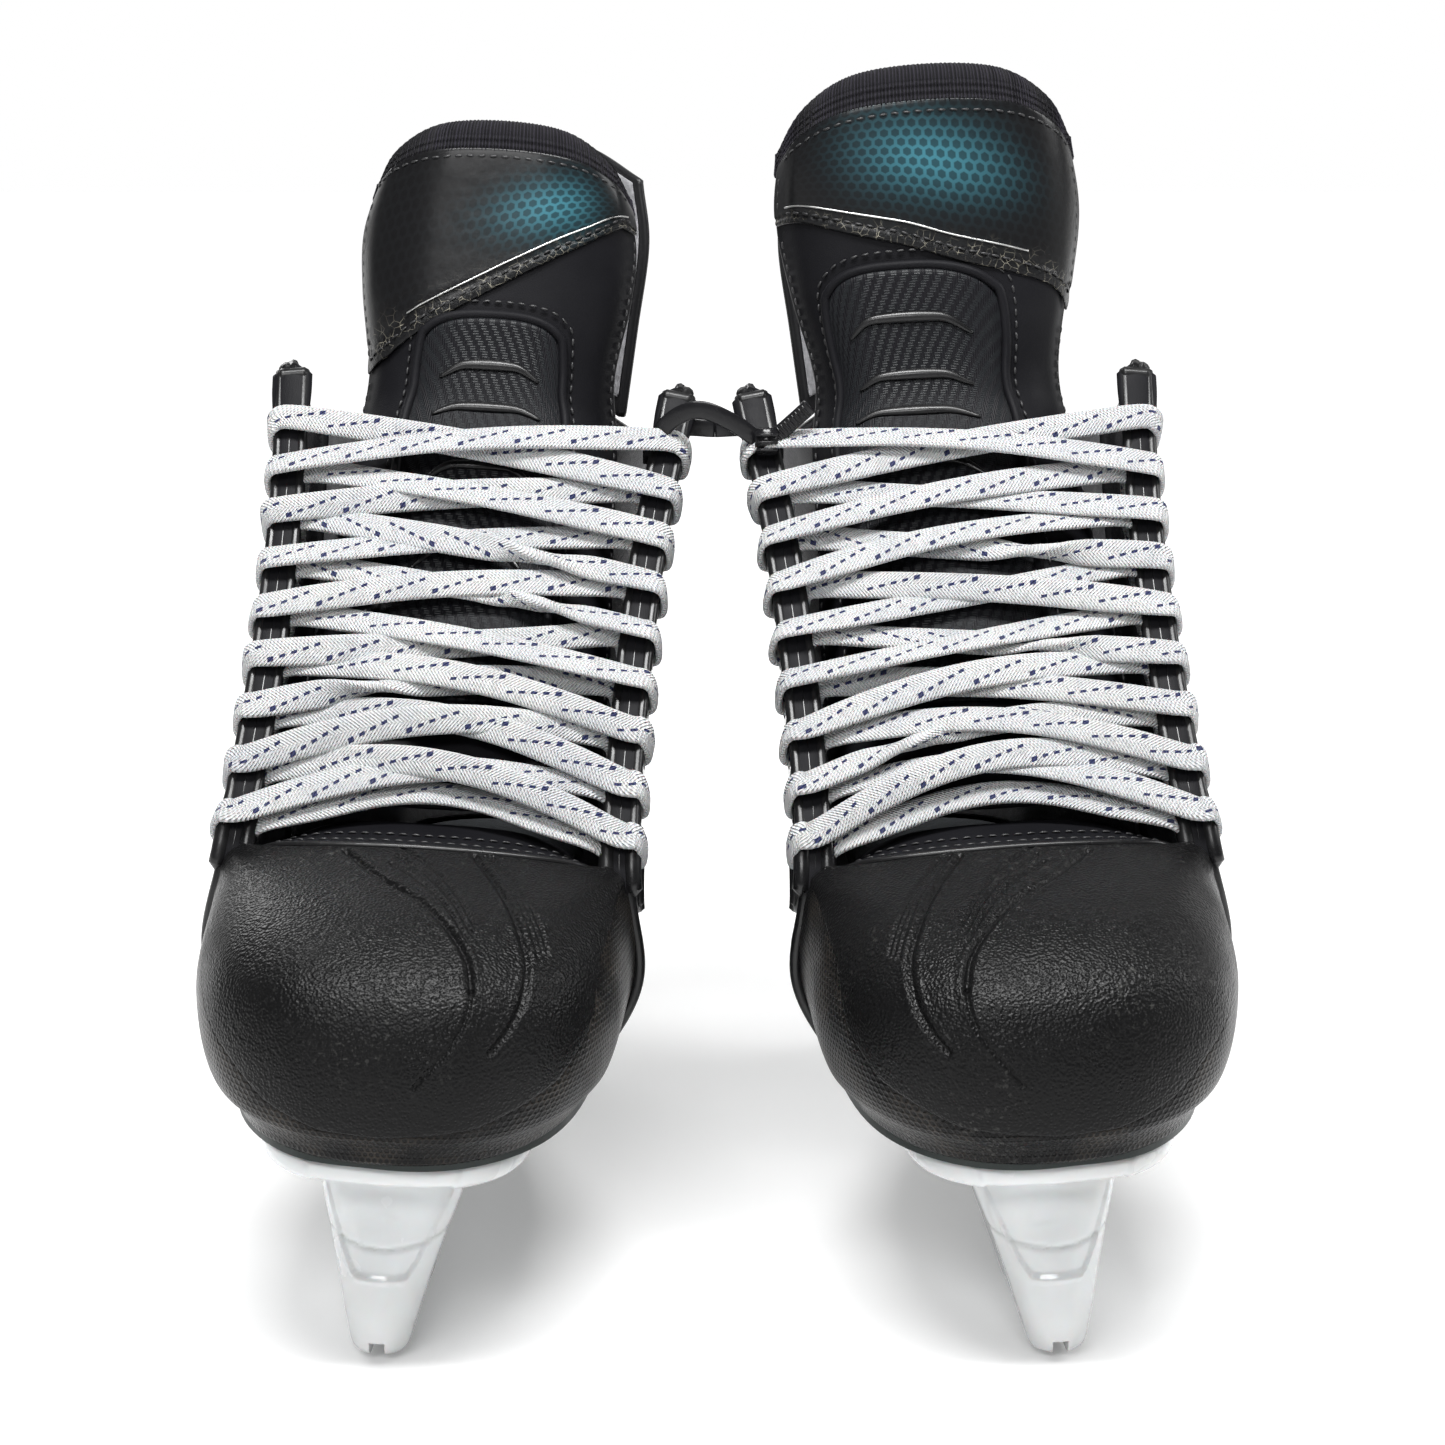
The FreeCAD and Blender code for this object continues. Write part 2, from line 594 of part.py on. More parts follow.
def make_tie():
    back, half_gap = tie_centre()
    half = half_gap + TIE_REACH
    centre = back - Vector(0, TIE_BEND_R, 0)
    outer = slot_prism(centre, half, TIE_BEND_R + TIE_THICK / 2, TIE_WIDTH)
    inner = slot_prism(centre, half, TIE_BEND_R - TIE_THICK / 2, TIE_WIDTH + 2)
    loop = outer.cut(inner)
    front_y = centre.y - TIE_BEND_R
    head_at = Vector(half - 1.0, front_y, back.z)
    tail = Part.makeBox(TIE_TAIL, TIE_THICK, TIE_WIDTH, Vector(0, -TIE_THICK / 2, -TIE_WIDTH / 2))
    tail.rotate(Vector(0, 0, 0), Vector(0, 1, 0), TIE_TAIL_DEG)
    tail.translate(head_at + Vector(1.5, -1.9, 1.0))
    bridge = Part.makeBox(4.0, 2.4, TIE_WIDTH - 0.6, head_at + Vector(1.0, -2.4, -TIE_WIDTH / 2 + 0.3))
    strap = loop.fuse([tail, bridge]).removeSplitter()
    wide, deep, high = HEAD_SIZE
    head = Part.makeBox(wide, deep, high, head_at - Vector(wide / 2 + 1.0, deep / 2 + 0.4, high / 2))
    head = head.makeChamfer(0.5, head.Edges)
    return strap, head.cut(strap)


# ---------------------------------------------------------------- output
def save(node, shape):
    shape.exportStep("parts/%s.step" % node)
    print(node, "valid", shape.isValid(), "solids", len(shape.Solids), "cm3", round(shape.Volume / 1000.0, 2))


def build_common():
    lace, length = make_lace()
    print("lace path", round(length), "volume ratio", lace.Volume / (math.pi * LACE_R ** 2 * length))
    return {
        "holder": make_holder(),
        "trigger": make_trigger(),
        "trigger_pin": make_trigger_pin(),
        "trigger_spring": make_trigger_spring(),
        "holder_rivets": make_rivets(),
        "outsole": make_outsole(),
        "insole": make_insole(),
        "toe_cap": make_toe_cap(),
        "vamp": make_vamp(),
        "quarter_inner": make_quarter(1),
        "quarter_outer": make_quarter(-1),
        "liner_inner": make_liner(1),
        "liner_outer": make_liner(-1),
        "heel_stay": make_heel_stay(),
        "facing_inner": make_facing(1),
        "facing_outer": make_facing(-1),
        "eyelets_inner": make_eyelets(1),
        "eyelets_outer": make_eyelets(-1),
        "tendon_guard": make_tendon_guard(),
        "guard_rivets": make_guard_rivets(),
        "tongue": make_tongue(),
        "lace": lace,
    }


def main():
    os.makedirs("parts", exist_ok=True)
    common = build_common()
    tongues = {"right": tongue_pieces(1.0, 4.0, 0.0, 0.3), "left": tongue_pieces(1.16, 0.0, 0.21, 0.16)}
    for side in ("right", "left"):
        for name, shape in list(common.items()) + list(tongues[side].items()):
            save("%s_%s" % (side, name), placed(shape, side))
    strap, head = make_tie()
    save("cable_tie_strap", strap)
    save("cable_tie_head", head)


main()
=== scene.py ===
"""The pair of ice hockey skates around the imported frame: shapes, materials, light and camera."""
import math
import bmesh
import bpy
import numpy as np
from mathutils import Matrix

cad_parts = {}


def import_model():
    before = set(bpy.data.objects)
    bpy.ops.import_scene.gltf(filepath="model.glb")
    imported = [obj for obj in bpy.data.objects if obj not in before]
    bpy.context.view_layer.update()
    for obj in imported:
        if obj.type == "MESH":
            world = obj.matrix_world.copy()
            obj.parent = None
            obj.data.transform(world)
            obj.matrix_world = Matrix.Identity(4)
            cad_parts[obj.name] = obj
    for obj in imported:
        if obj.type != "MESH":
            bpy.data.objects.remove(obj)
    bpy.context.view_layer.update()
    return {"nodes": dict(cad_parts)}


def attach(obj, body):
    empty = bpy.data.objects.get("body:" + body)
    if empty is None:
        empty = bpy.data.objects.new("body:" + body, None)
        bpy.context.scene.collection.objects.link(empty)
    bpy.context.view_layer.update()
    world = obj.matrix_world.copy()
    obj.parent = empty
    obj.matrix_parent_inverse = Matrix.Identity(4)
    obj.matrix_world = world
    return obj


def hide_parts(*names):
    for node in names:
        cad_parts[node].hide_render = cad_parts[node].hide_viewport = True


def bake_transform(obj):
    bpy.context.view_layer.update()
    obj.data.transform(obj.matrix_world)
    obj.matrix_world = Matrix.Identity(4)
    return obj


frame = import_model()

MM = 0.001
SIDES = ("right", "left")
PARTS = ((1, "inner"), (-1, "outer"))     # sign of a skate's half and its name
RNG = np.random.default_rng(7)

# how the pair stands, as in the CAD model (millimetres and degrees)
HALF_SPREAD = 76.5
LEAN = math.radians(3.4)
YAW = math.radians(-1.9)
TURN_Y = 140.0
PAIR_CENTRE_Y = 145.0
RAIL_HALF_WIDTH = 6.75
SOLE_FRONT = 50.0
SOLE_RISE = 12.0
EYELET_COUNT = 10
LACED_ROWS = 9

# ---------------------------------------------------------------- surfaces shared with the CAD model
BOOT_ROWS = [
    [(43, 78, 55.3), (46, 100, 56), (38, 150, 62.5), (33, 190, 67.3), (34, 230, 67.5), (26, 268, 67.5),
     (0, 283, 67.5)],
    [(53.5, 77, 79), (54, 100, 78), (43, 150, 82), (38, 190, 86), (38, 230, 90), (31, 270, 92), (0, 289, 92)],
    [(49.5, 77, 108), (50.5, 96, 95.5), (43, 147, 107), (38, 190, 113), (37, 230, 117), (28.5, 267, 119),
     (0, 286, 120)],
    [(48.5, 109, 145), (49, 125.6, 130.6), (43, 160, 138), (39, 195, 145), (37, 230, 149), (27, 261, 151),
     (0, 278, 152)],
    [(50, 141, 182), (49, 157.6, 167.6), (44.5, 181, 173), (41, 205, 178), (37, 231, 181), (25, 256, 182),
     (0, 270, 182)],
    [(54.5, 173, 219), (52.5, 189.6, 204.6), (47.5, 203, 200), (43, 218, 198), (36, 238, 200), (22, 256, 205),
     (0, 263, 209)],
]
TOE_ROWS = [
    [(42.5, 76, 55.5), (40, 50, 55.3), (31, 25, 55.2), (17, 11, 55.1), (0, 7, 55.1)],
    [(49, 76, 64), (48, 48, 62), (38, 20, 61), (21, 5, 60), (0, 1.5, 60)],
    [(53.5, 75, 80), (51, 46, 79), (41, 18, 78), (23, 3.5, 77), (0, 0, 77)],
    [(52.5, 73.5, 95), (48, 46, 94), (38, 22, 93), (22, 9, 92.5), (0, 6, 92)],
    [(49.5, 73.5, 105), (42, 55, 105), (32, 38, 104.5), (18, 28, 104), (0, 25, 104)],
    [(46, 74, 108), (36, 69, 109.5), (25, 66, 111), (12, 64, 112), (0, 63.5, 112.3)],
]
VAMP_ROWS = [
    [(0, 64.5, 112), (12, 65, 111.7), (25, 67, 110.7), (36, 71, 109), (42, 75, 106.5)],
    [(0, 75, 113), (12, 75.5, 112.8), (25, 77, 111.6), (35, 80, 108.5), (41, 84, 103.5)],
    [(0, 86, 113.5), (12, 86.5, 113.3), (24, 88, 111.8), (33, 90, 108), (38, 94, 102)],
]
TONGUE_LOW_ROWS = [
    [(0, 86.5, 119), (20, 88, 119), (34, 95.5, 117.5), (40, 107, 114)],
    [(0, 111, 146), (20, 112.5, 146), (34, 120, 144), (40, 132, 140)],
    [(0, 139, 178), (20, 140.5, 178), (33, 148, 176), (38, 160, 172)],
    [(0, 162, 204), (20, 163.5, 204), (31, 171, 203), (36, 182, 200)],
]
TONGUE_TOP_ROWS = [
    [(0, 170.5, 218.5), (18, 172, 218.5), (29, 178, 218.5), (34, 188, 218.5)],
    [(0, 175, 242), (20, 176.5, 242), (32, 183, 242), (37, 194, 241)],
    [(0, 178.5, 264), (20, 180, 263), (32, 186.5, 260.5), (38, 197, 256)],
    [(0, 181, 285), (18, 182.5, 283.5), (29, 188, 278), (34.5, 197, 270)],
]
GUARD_ROWS = [
    [(35, 241, 205), (23, 257.5, 209), (0, 265, 212)],
    [(37, 243, 230), (24, 260, 233), (0, 269, 236)],
    [(39, 244, 255), (25, 263, 261), (0, 273, 263)],
    [(36, 247, 273), (20, 265, 281), (0, 275, 285)],
]
TONGUE_SHAPES = {"right": (1.0, 4.0, 0.0), "left": (1.16, 0.0, 0.21)}     # width, tip-back, extra height
COLUMNS = 2 * (len(BOOT_ROWS[0]) - 1)
FACING_U = 1.0 / COLUMNS
EYELET_U = 0.4 / COLUMNS
FACING_V = 0.4
FIRST_EYELET_V = 0.43
EYELET_STEP_V = 0.0605


def curve(points, t, *pick):
    """Smooth curve through points along the first axis, at each value of t from 0 to 1.

    With pick, each value of t reads its own column of the points.
    """
    points = np.asarray(points, float)
    t = np.asarray(t, float)
    spans = len(points) - 1
    k = np.clip((t * spans).astype(int), 0, spans - 1)
    tail = (slice(None),) + (None,) * (points.ndim - 1 - len(pick))
    s = (t * spans - k)[tail]
    start = points[(k, *pick)]
    end = points[(k + 1, *pick)]
    before = np.where((k > 0)[tail], points[(np.maximum(k - 1, 0), *pick)], 2 * start - end)
    after = np.where((k + 2 <= spans)[tail], points[(np.minimum(k + 2, spans), *pick)], 2 * end - start)
    cubic = 3 * (start - end) + after - before
    square = 2 * before - 5 * start + 4 * end - after
    return 0.5 * (2 * start + (end - before) * s + square * s ** 2 + cubic * s ** 3)


def full_rows(rows, centre_first):
    """Both halves of each row, from the given half and its mirror image."""
    result = []
    for row in rows:
        half = np.array(row, float)
        twin = half * [-1, 1, 1]
        result.append(np.vstack([twin[:0:-1], half] if centre_first else [half, twin[-2::-1]]))
    return np.array(result)


class Skin:
    """A smooth surface over u and v, with points at any offset along its outward normal."""

    def __init__(self, rows, outward):
        self.rows = rows
        self.outward = outward

    def base(self, u, v):
        """Points for matching arrays of u and v."""
        across = curve(np.swapaxes(self.rows, 0, 1), np.ravel(u))
        points = curve(np.swapaxes(across, 0, 1), np.ravel(v), np.arange(np.size(u)))
        return points.reshape(np.shape(u) + (3,))

    def normal(self, u, v, step=2.0e-3):
        along = self.base(u + step, v) - self.base(u - step, v)
        up = self.base(u, v + step) - self.base(u, v - step)
        return unit(np.cross(along, up) * self.outward)

    def at(self, u, v, offset=0.0):
        u = np.asarray(u, float)
        v = np.asarray(v, float)
        offset = np.asarray(offset, float)
        return self.base(u, v) + self.normal(u, v) * offset[..., None]


def tongue_rows(side):
    """The whole tongue's rows: the lower part, then this side's top, widened, tipped back and lengthened."""
    width, back_deg, extra = TONGUE_SHAPES[side]
    turn = math.radians(back_deg)
    base_y, base_z = TONGUE_TOP_ROWS[0][0][1:]
    rows = list(TONGUE_LOW_ROWS)
    for index, row in enumerate(TONGUE_TOP_ROWS):
        share = index / (len(TONGUE_TOP_ROWS) - 1.0)
        points = []
        for x, y, z in row:
            ahead = y - base_y
            above = (z - base_z) * (1.0 + extra * share)
            back = ahead * math.cos(turn) + above * math.sin(turn)
            high = above * math.cos(turn) - (ahead * math.sin(turn) if index else 0.0)
            points.append((x * (1.0 + (width - 1.0) * share), base_y + back, base_z + high))
        rows.append(points)
    return rows


boot = Skin(full_rows(BOOT_ROWS, False), 1)
toe = Skin(full_rows(TOE_ROWS, False), -1)
vamp = Skin(full_rows(VAMP_ROWS, True), 1)
guard = Skin(full_rows(GUARD_ROWS, False), 1)
tongues = {side: Skin(full_rows(tongue_rows(side), True), 1) for side in SIDES}


def sole_height(y):
    t = np.clip((np.asarray(y, float) - 90.0) / 110.0, 0, 1)
    return SOLE_FRONT + SOLE_RISE * t * t * (3 - 2 * t)


def rotated(a, b, angle):
    """Two coordinates turned by an angle, from the first towards the second."""
    return math.cos(angle) * a - math.sin(angle) * b, math.sin(angle) * a + math.cos(angle) * b


def placed(points, side):
    """Skate-frame millimetres to row-frame metres."""
    x, y, z = np.moveaxis(np.asarray(points, float), -1, 0)
    x, z = rotated(x, z, -LEAN)
    x, y = rotated(x, y - TURN_Y, YAW)
    x = x - HALF_SPREAD
    if side == "left":
        x = -x
    return np.stack([x, y + TURN_Y - PAIR_CENTRE_Y, z + RAIL_HALF_WIDTH * math.sin(LEAN)], -1) * MM


def unplaced(points, side):
    """Row-frame metres back to skate-frame millimetres."""
    x, y, z = np.moveaxis(np.asarray(points, float) / MM, -1, 0)
    if side == "left":
        x = -x
    x, y = rotated(x + HALF_SPREAD, y - TURN_Y + PAIR_CENTRE_Y, -YAW)
    x, z = rotated(x, z - RAIL_HALF_WIDTH * math.sin(LEAN), LEAN)
    return np.stack([x, y + TURN_Y, z], -1)


# ---------------------------------------------------------------- vectors and paths
TINY = 1e-12


def unit(vectors):
    """Vectors along the last axis, scaled to length one."""
    return vectors / (np.linalg.norm(vectors, axis=-1, keepdims=True) + TINY)


def square_to(vectors, tangent):
    """Unit vectors with the part along the tangents taken out."""
    return unit(vectors - tangent * np.sum(vectors * tangent, axis=1, keepdims=True))


def lengths(path):
    """Distance of each point along a path."""
    return np.concatenate([[0], np.cumsum(np.linalg.norm(np.diff(path, axis=0), axis=1))])


def at_lengths(at, length, values):
    """Three-number values along a path, read at given distances."""
    return np.stack([np.interp(at, length, values[:, k]) for k in range(3)], -1)


def resample(path, step):
    """Evenly spaced points along a path."""
    length = lengths(path)
    return at_lengths(np.linspace(0, length[-1], max(2, int(length[-1] / step) + 1)), length, path)


def distance_to_path(points, path):
    """Shortest distance from each point to a polyline."""
    best = np.full(len(points), 1e9)
    for a, b in zip(path[:-1], path[1:]):
        d = b - a
        t = np.clip(((points - a) @ d) / (d @ d + TINY), 0, 1)
        best = np.minimum(best, np.linalg.norm(points - (a + t[:, None] * d), axis=1))
    return best


def smooth_step(x, low, high):
    t = np.clip((x - low) / (high - low), 0, 1)
    return t * t * (3 - 2 * t)


def hump(x, centre, width):
    """Rounded bump of height one round a centre."""
    return np.exp(-((x - centre) / width) ** 2)


def ring_faces(rings, sides):
    """Faces round a bar made of rings of points, with both ends closed."""
    faces = []
    for i in range(rings - 1):
        for j in range(sides):
            k = (j + 1) % sides
            faces.append((i * sides + j, i * sides + k, (i + 1) * sides + k, (i + 1) * sides + j))
    faces.append(tuple(range(sides - 1, -1, -1)))
    faces.append(tuple(range((rings - 1) * sides, rings * sides)))
    return faces


# ---------------------------------------------------------------- mesh building
def make_object(name, points, faces, material, uv=None, marks=None, smooth=True):
    """Mesh object from row-frame points; uv is per point in millimetres, marks are named per-point values."""
    mesh = bpy.data.meshes.new(name)
    mesh.from_pydata(np.asarray(points).reshape(-1, 3).tolist(), [], faces)
    if uv is not None:
        layer = mesh.uv_layers.new(name="surf")
        index = np.zeros(len(mesh.loops), int)
        mesh.loops.foreach_get("vertex_index", index)
        layer.data.foreach_set("uv", (np.asarray(uv)[index] * 0.01).ravel())
    for mark, values in (marks or {}).items():
        layer = mesh.attributes.new(mark, "FLOAT", "POINT")
        layer.data.foreach_set("value", np.asarray(values, np.float32))
    tool = bmesh.new()
    tool.from_mesh(mesh)
    bmesh.ops.recalc_face_normals(tool, faces=tool.faces)
    tool.to_mesh(mesh)
    tool.free()
    mesh.polygons.foreach_set("use_smooth", [smooth] * len(mesh.polygons))
    mesh.materials.append(material)
    obj = bpy.data.objects.new(name, mesh)
    bpy.context.scene.collection.objects.link(obj)
    return obj


def grid_faces(nu, nv, start=0):
    corners = [start + i * nv + j for i in range(nu - 1) for j in range(nv - 1)]
    return [(a, a + nv, a + nv + 1, a + 1) for a in corners]


def slab(name, outer, inner, material, side, marks=None, rim=4):
    """Closed sheet between two grids of skate-frame points, its rim rounded."""
    nu, nv = outer.shape[:2]
    along, up = lengths(outer[:, nv // 2]), lengths(outer[nu // 2])
    uv = np.stack(np.meshgrid(along, up, indexing="ij"), -1).reshape(-1, 2)
    ring = ([(i, 0) for i in range(nu)] + [(nu - 1, j) for j in range(1, nv)]
            + [(i, nv - 1) for i in range(nu - 2, -1, -1)] + [(0, j) for j in range(nv - 2, 0, -1)])
    ii, jj = np.array(ring).T
    top = outer[ii, jj]
    away = unit(top - outer[np.clip(ii, 1, nu - 2), np.clip(jj, 1, nv - 2)])
    low = inner[ii, jj]
    middle = (top + low) / 2
    half = np.linalg.norm(top - low, axis=1, keepdims=True) / 2
    points = [outer.reshape(-1, 3), inner.reshape(-1, 3)]
    flat = [uv, uv]
    for k in range(1, rim):
        angle = math.pi * k / rim
        points.append(middle + (top - middle) * math.cos(angle) + away * half * math.sin(angle))
        flat.append(uv[ii * nv + jj])
    count = nu * nv
    faces = grid_faces(nu, nv) + grid_faces(nu, nv, count)
    loops = [ii * nv + jj] + [2 * count + k * len(ring) + np.arange(len(ring)) for k in range(rim - 1)]
    loops.append(count + ii * nv + jj)
    for first, second in zip(loops[:-1], loops[1:]):
        quads = [first, np.roll(first, -1), np.roll(second, -1), second]
        faces += list(zip(*(corner.tolist() for corner in quads)))
    all_marks = {}
    for mark, values in (marks or {}).items():
        values = np.asarray(values).reshape(-1)
        all_marks[mark] = np.concatenate([values, values] + [values[ii * nv + jj]] * (rim - 1))
    return make_object(name, placed(np.vstack(points), side), faces, material, np.vstack(flat), all_marks)


def patch_grid(u_range, v_low, v_high, nu, nv):
    """Matching u and v arrays over a region; the v limits may be functions of u."""
    u = np.linspace(*u_range, nu)
    low = v_low(u) if callable(v_low) else np.full(nu, v_low)
    high = v_high(u) if callable(v_high) else np.full(nu, v_high)
    v = low[:, None] + (high - low)[:, None] * np.linspace(0, 1, nv)
    return np.repeat(u[:, None], nv, 1), v


def path_frames(path):
    """Unit tangents and a twist-free pair of cross directions along a path."""
    tangent = unit(np.gradient(path, axis=0))
    first = np.zeros_like(path)
    seed = np.array([0.0, 0.0, 1.0]) if abs(tangent[0][2]) < 0.9 else np.array([0.0, 1.0, 0.0])
    for k in range(len(path)):
        seed = unit(seed - tangent[k] * np.dot(seed, tangent[k]))
        first[k] = seed
    return tangent, first, np.cross(tangent, first)


def tube(name, path, radius, material, side, sides=10, flatten=None):
    """Round bar along a skate-frame path, with domed ends; flatten gives normals and a squash factor."""
    tangent, first, second = path_frames(path)
    depth = 1.0
    if flatten is not None:
        normals, depth = flatten
        first = square_to(normals, tangent)
        second = np.cross(tangent, first)
    radius = np.broadcast_to(radius, (len(path),)).astype(float).copy()
    cap = np.array([0.05, 0.55, 0.85, 1.0])
    ends = [path[0] - tangent[0] * radius[0] * (1 - c) * 0.9 for c in cap[:3]]
    tails = [path[-1] + tangent[-1] * radius[-1] * (1 - c) * 0.9 for c in cap[2::-1]]
    full = np.vstack([ends, path, tails])
    scale = np.concatenate([radius[0] * cap[:3], radius, radius[-1] * cap[2::-1]])
    first = np.vstack([np.repeat(first[:1], 3, 0), first, np.repeat(first[-1:], 3, 0)])
    second = np.vstack([np.repeat(second[:1], 3, 0), second, np.repeat(second[-1:], 3, 0)])
    angle = np.arange(sides) * 2 * math.pi / sides
    ring = first[:, None] * (np.cos(angle) * depth)[:, None] + second[:, None] * np.sin(angle)[:, None]
    points = full[:, None] + ring * scale[:, None, None]
    uv = np.stack(np.meshgrid(lengths(full), angle * np.mean(radius), indexing="ij"), -1).reshape(-1, 2)
    faces = ring_faces(len(full), sides)
    return make_object(name, placed(points.reshape(-1, 3), side), faces, material, uv)


def cube(bevel=0.0):
    """Corners and faces of a cube of side one, with rounded edges if asked."""
    tool = bmesh.new()
    bmesh.ops.create_cube(tool, size=1.0)
    if bevel:
        bmesh.ops.bevel(tool, geom=tool.edges[:], offset=bevel, segments=3, affect="EDGES")
    corners = np.array([v.co for v in tool.verts])
    faces = [tuple(v.index for v in f.verts) for f in tool.faces]
    tool.free()
    return corners, faces


def join(name, objects):
    """One object from several."""
    bpy.ops.object.select_all(action="DESELECT")
    for obj in objects:
        obj.select_set(True)
    bpy.context.view_layer.objects.active = objects[0]
    bpy.ops.object.join()
    objects[0].name = name
    objects[0].data.name = name
    return objects[0]


STITCH = 2.1
STITCH_GAP = 1.1
STITCH_RADIUS = 0.34
STITCH_LIFT = 0.15
STITCH_PROFILE = [(-0.5, 0.15), (-0.42, 0.75), (-0.2, 1.0), (0.2, 1.0), (0.42, 0.75), (0.5, 0.15)]


def stitches(name, path, normals, material, side):
    """A row of thread stitches laid along a path on a surface."""
    length = lengths(path)
    points = []
    faces = []
    sides = 6
    at = STITCH
    while at < length[-1] - STITCH:
        centre = at_lengths(at, length, path)
        normal = unit(at_lengths(at, length, normals))
        tangent = unit(at_lengths(at + 0.5, length, path) - centre)
        across = np.cross(tangent, normal)
        tilt = RNG.uniform(-0.12, 0.12)
        base = len(points)
        for along, size in STITCH_PROFILE:
            middle = centre + (tangent + across * tilt) * along * STITCH
            middle = middle + normal * (STITCH_LIFT - 0.5 * (abs(along) * 2) ** 2 * STITCH_RADIUS)
            for j in range(sides):
                a = 2 * math.pi * j / sides
                outward = across * math.cos(a) + normal * math.sin(a) * 0.8
                points.append(middle + outward * STITCH_RADIUS * size)
        faces += [tuple(base + corner for corner in face) for face in ring_faces(len(STITCH_PROFILE), sides)]
        at += STITCH + STITCH_GAP
    return make_object(name, placed(np.array(points), side), faces, material)


# ---------------------------------------------------------------- materials
class Nodes:
    """Short forms for building a material's node tree."""

    def __init__(self, name, colour, roughness, **sockets):
        self.material = bpy.data.materials.new(name)
        self.material.use_nodes = True
        self.tree = self.material.node_tree
        self.shader = self.tree.nodes["Principled BSDF"]
        self.set("Base Color", (*colour, 1.0))
        self.set("Roughness", roughness)
        for socket, value in sockets.items():
            self.set(socket.replace("_", " "), value)
        self.material.diffuse_color = (*colour, 1.0)

    def put(self, target, value):
        """Links another node's output to a socket, or sets the socket to a value."""
        if hasattr(value, "is_linked"):
            self.tree.links.new(value, target)
        else:
            target.default_value = value

    def set(self, socket, value):
        self.put(self.shader.inputs[socket], value)

    def node(self, kind, inputs=None, **settings):
        made = self.tree.nodes.new("ShaderNode" + kind)
        for key, value in settings.items():
            setattr(made, key, value)
        for key, value in (inputs or {}).items():
            self.put(made.inputs[key], value)
        return made

    def math(self, operation, a, b=0.0):
        return self.node("Math", {0: a, 1: b}, operation=operation).outputs[0]

    def times(self, a, b):
        return self.math("MULTIPLY", a, b)

    def plus(self, a, b):
        return self.math("ADD", a, b)

    def minus(self, a, b):
        return self.math("SUBTRACT", a, b)

    def uneven_roughness(self, scale, detail, low, high):
        """Roughness that wanders between two values in soft patches."""
        self.set("Roughness", self.ramp(self.noise(scale, detail), 0.3, 0.7, low, high))

    def place(self):
        """Object-space position, in metres."""
        return self.node("TexCoord").outputs["Object"]

    def noise(self, scale, detail=3.0, roughness=0.5):
        inputs = {"Scale": scale, "Detail": detail, "Roughness": roughness, "Vector": self.place()}
        return self.node("TexNoise", inputs).outputs["Fac"]

    def voronoi(self, scale, feature="F1"):
        inputs = {"Scale": scale, "Vector": self.place()}
        return self.node("TexVoronoi", inputs, feature=feature).outputs["Distance"]

    def surf(self):
        """Distances along and up the surface, in millimetres."""
        split = self.node("SeparateXYZ", {0: self.node("UVMap", uv_map="surf").outputs[0]})
        return self.times(split.outputs[0], 100.0), self.times(split.outputs[1], 100.0)

    def mark(self, name):
        return self.node("Attribute", attribute_name=name).outputs["Fac"]

    def ramp(self, value, low, high, start=0.0, end=1.0):
        inputs = {"Value": value, "From Min": low, "From Max": high, "To Min": start, "To Max": end}
        return self.node("MapRange", inputs).outputs[0]

    def mix(self, share, first, second):
        made = self.node("Mix", data_type="RGBA")
        for index, value in ((0, share), (6, first), (7, second)):
            self.put(made.inputs[index], (*value, 1.0) if isinstance(value, tuple) else value)
        return made.outputs[2]

    def mix_value(self, share, first, second):
        """Number between two, by a share."""
        inverse = self.minus(1.0, share)
        return self.plus(self.times(first, inverse), self.times(second, share))

    def bump(self, height, distance, strength=1.0):
        """Adds a bump over any earlier one; distance is in metres."""
        made = self.node("Bump", {"Height": height, "Distance": distance, "Strength": strength})
        target = self.shader.inputs["Normal"]
        if target.is_linked:
            self.tree.links.new(target.links[0].from_socket, made.inputs["Normal"])
        self.tree.links.new(made.outputs[0], target)


def wear_colour(m, base, pale, scale=900.0, low=0.62, high=0.72, amount=0.5):
    """Base colour with small pale rubs and dust specks."""
    specks = m.ramp(m.noise(scale, 2.0), low, high)
    patches = m.ramp(m.noise(28.0, 4.0), 0.5, 0.72)
    share = m.times(m.times(specks, patches), amount)
    colour = m.mix(share, base, pale)
    m.set("Base Color", colour)
    return colour


def hex_cells(m, along, up, pitch):
    """0 at the centre of each cell of a honeycomb, rising to 1 at its edge."""
    ratio = math.sqrt(3.0)
    results = []
    for shift in (0.0, 0.5):
        a = m.plus(m.math("DIVIDE", along, pitch), shift)
        b = m.plus(m.math("DIVIDE", up, pitch * ratio), shift)
        da = m.minus(m.math("FRACT", a), 0.5)
        db = m.times(m.minus(m.math("FRACT", b), 0.5), ratio)
        da = m.math("ABSOLUTE", da)
        db = m.math("ABSOLUTE", db)
        slant = m.plus(m.times(da, 0.5), m.times(db, ratio / 2))
        results.append(m.math("MAXIMUM", da, slant))
    return m.times(m.math("MINIMUM", results[0], results[1]), 2.0)


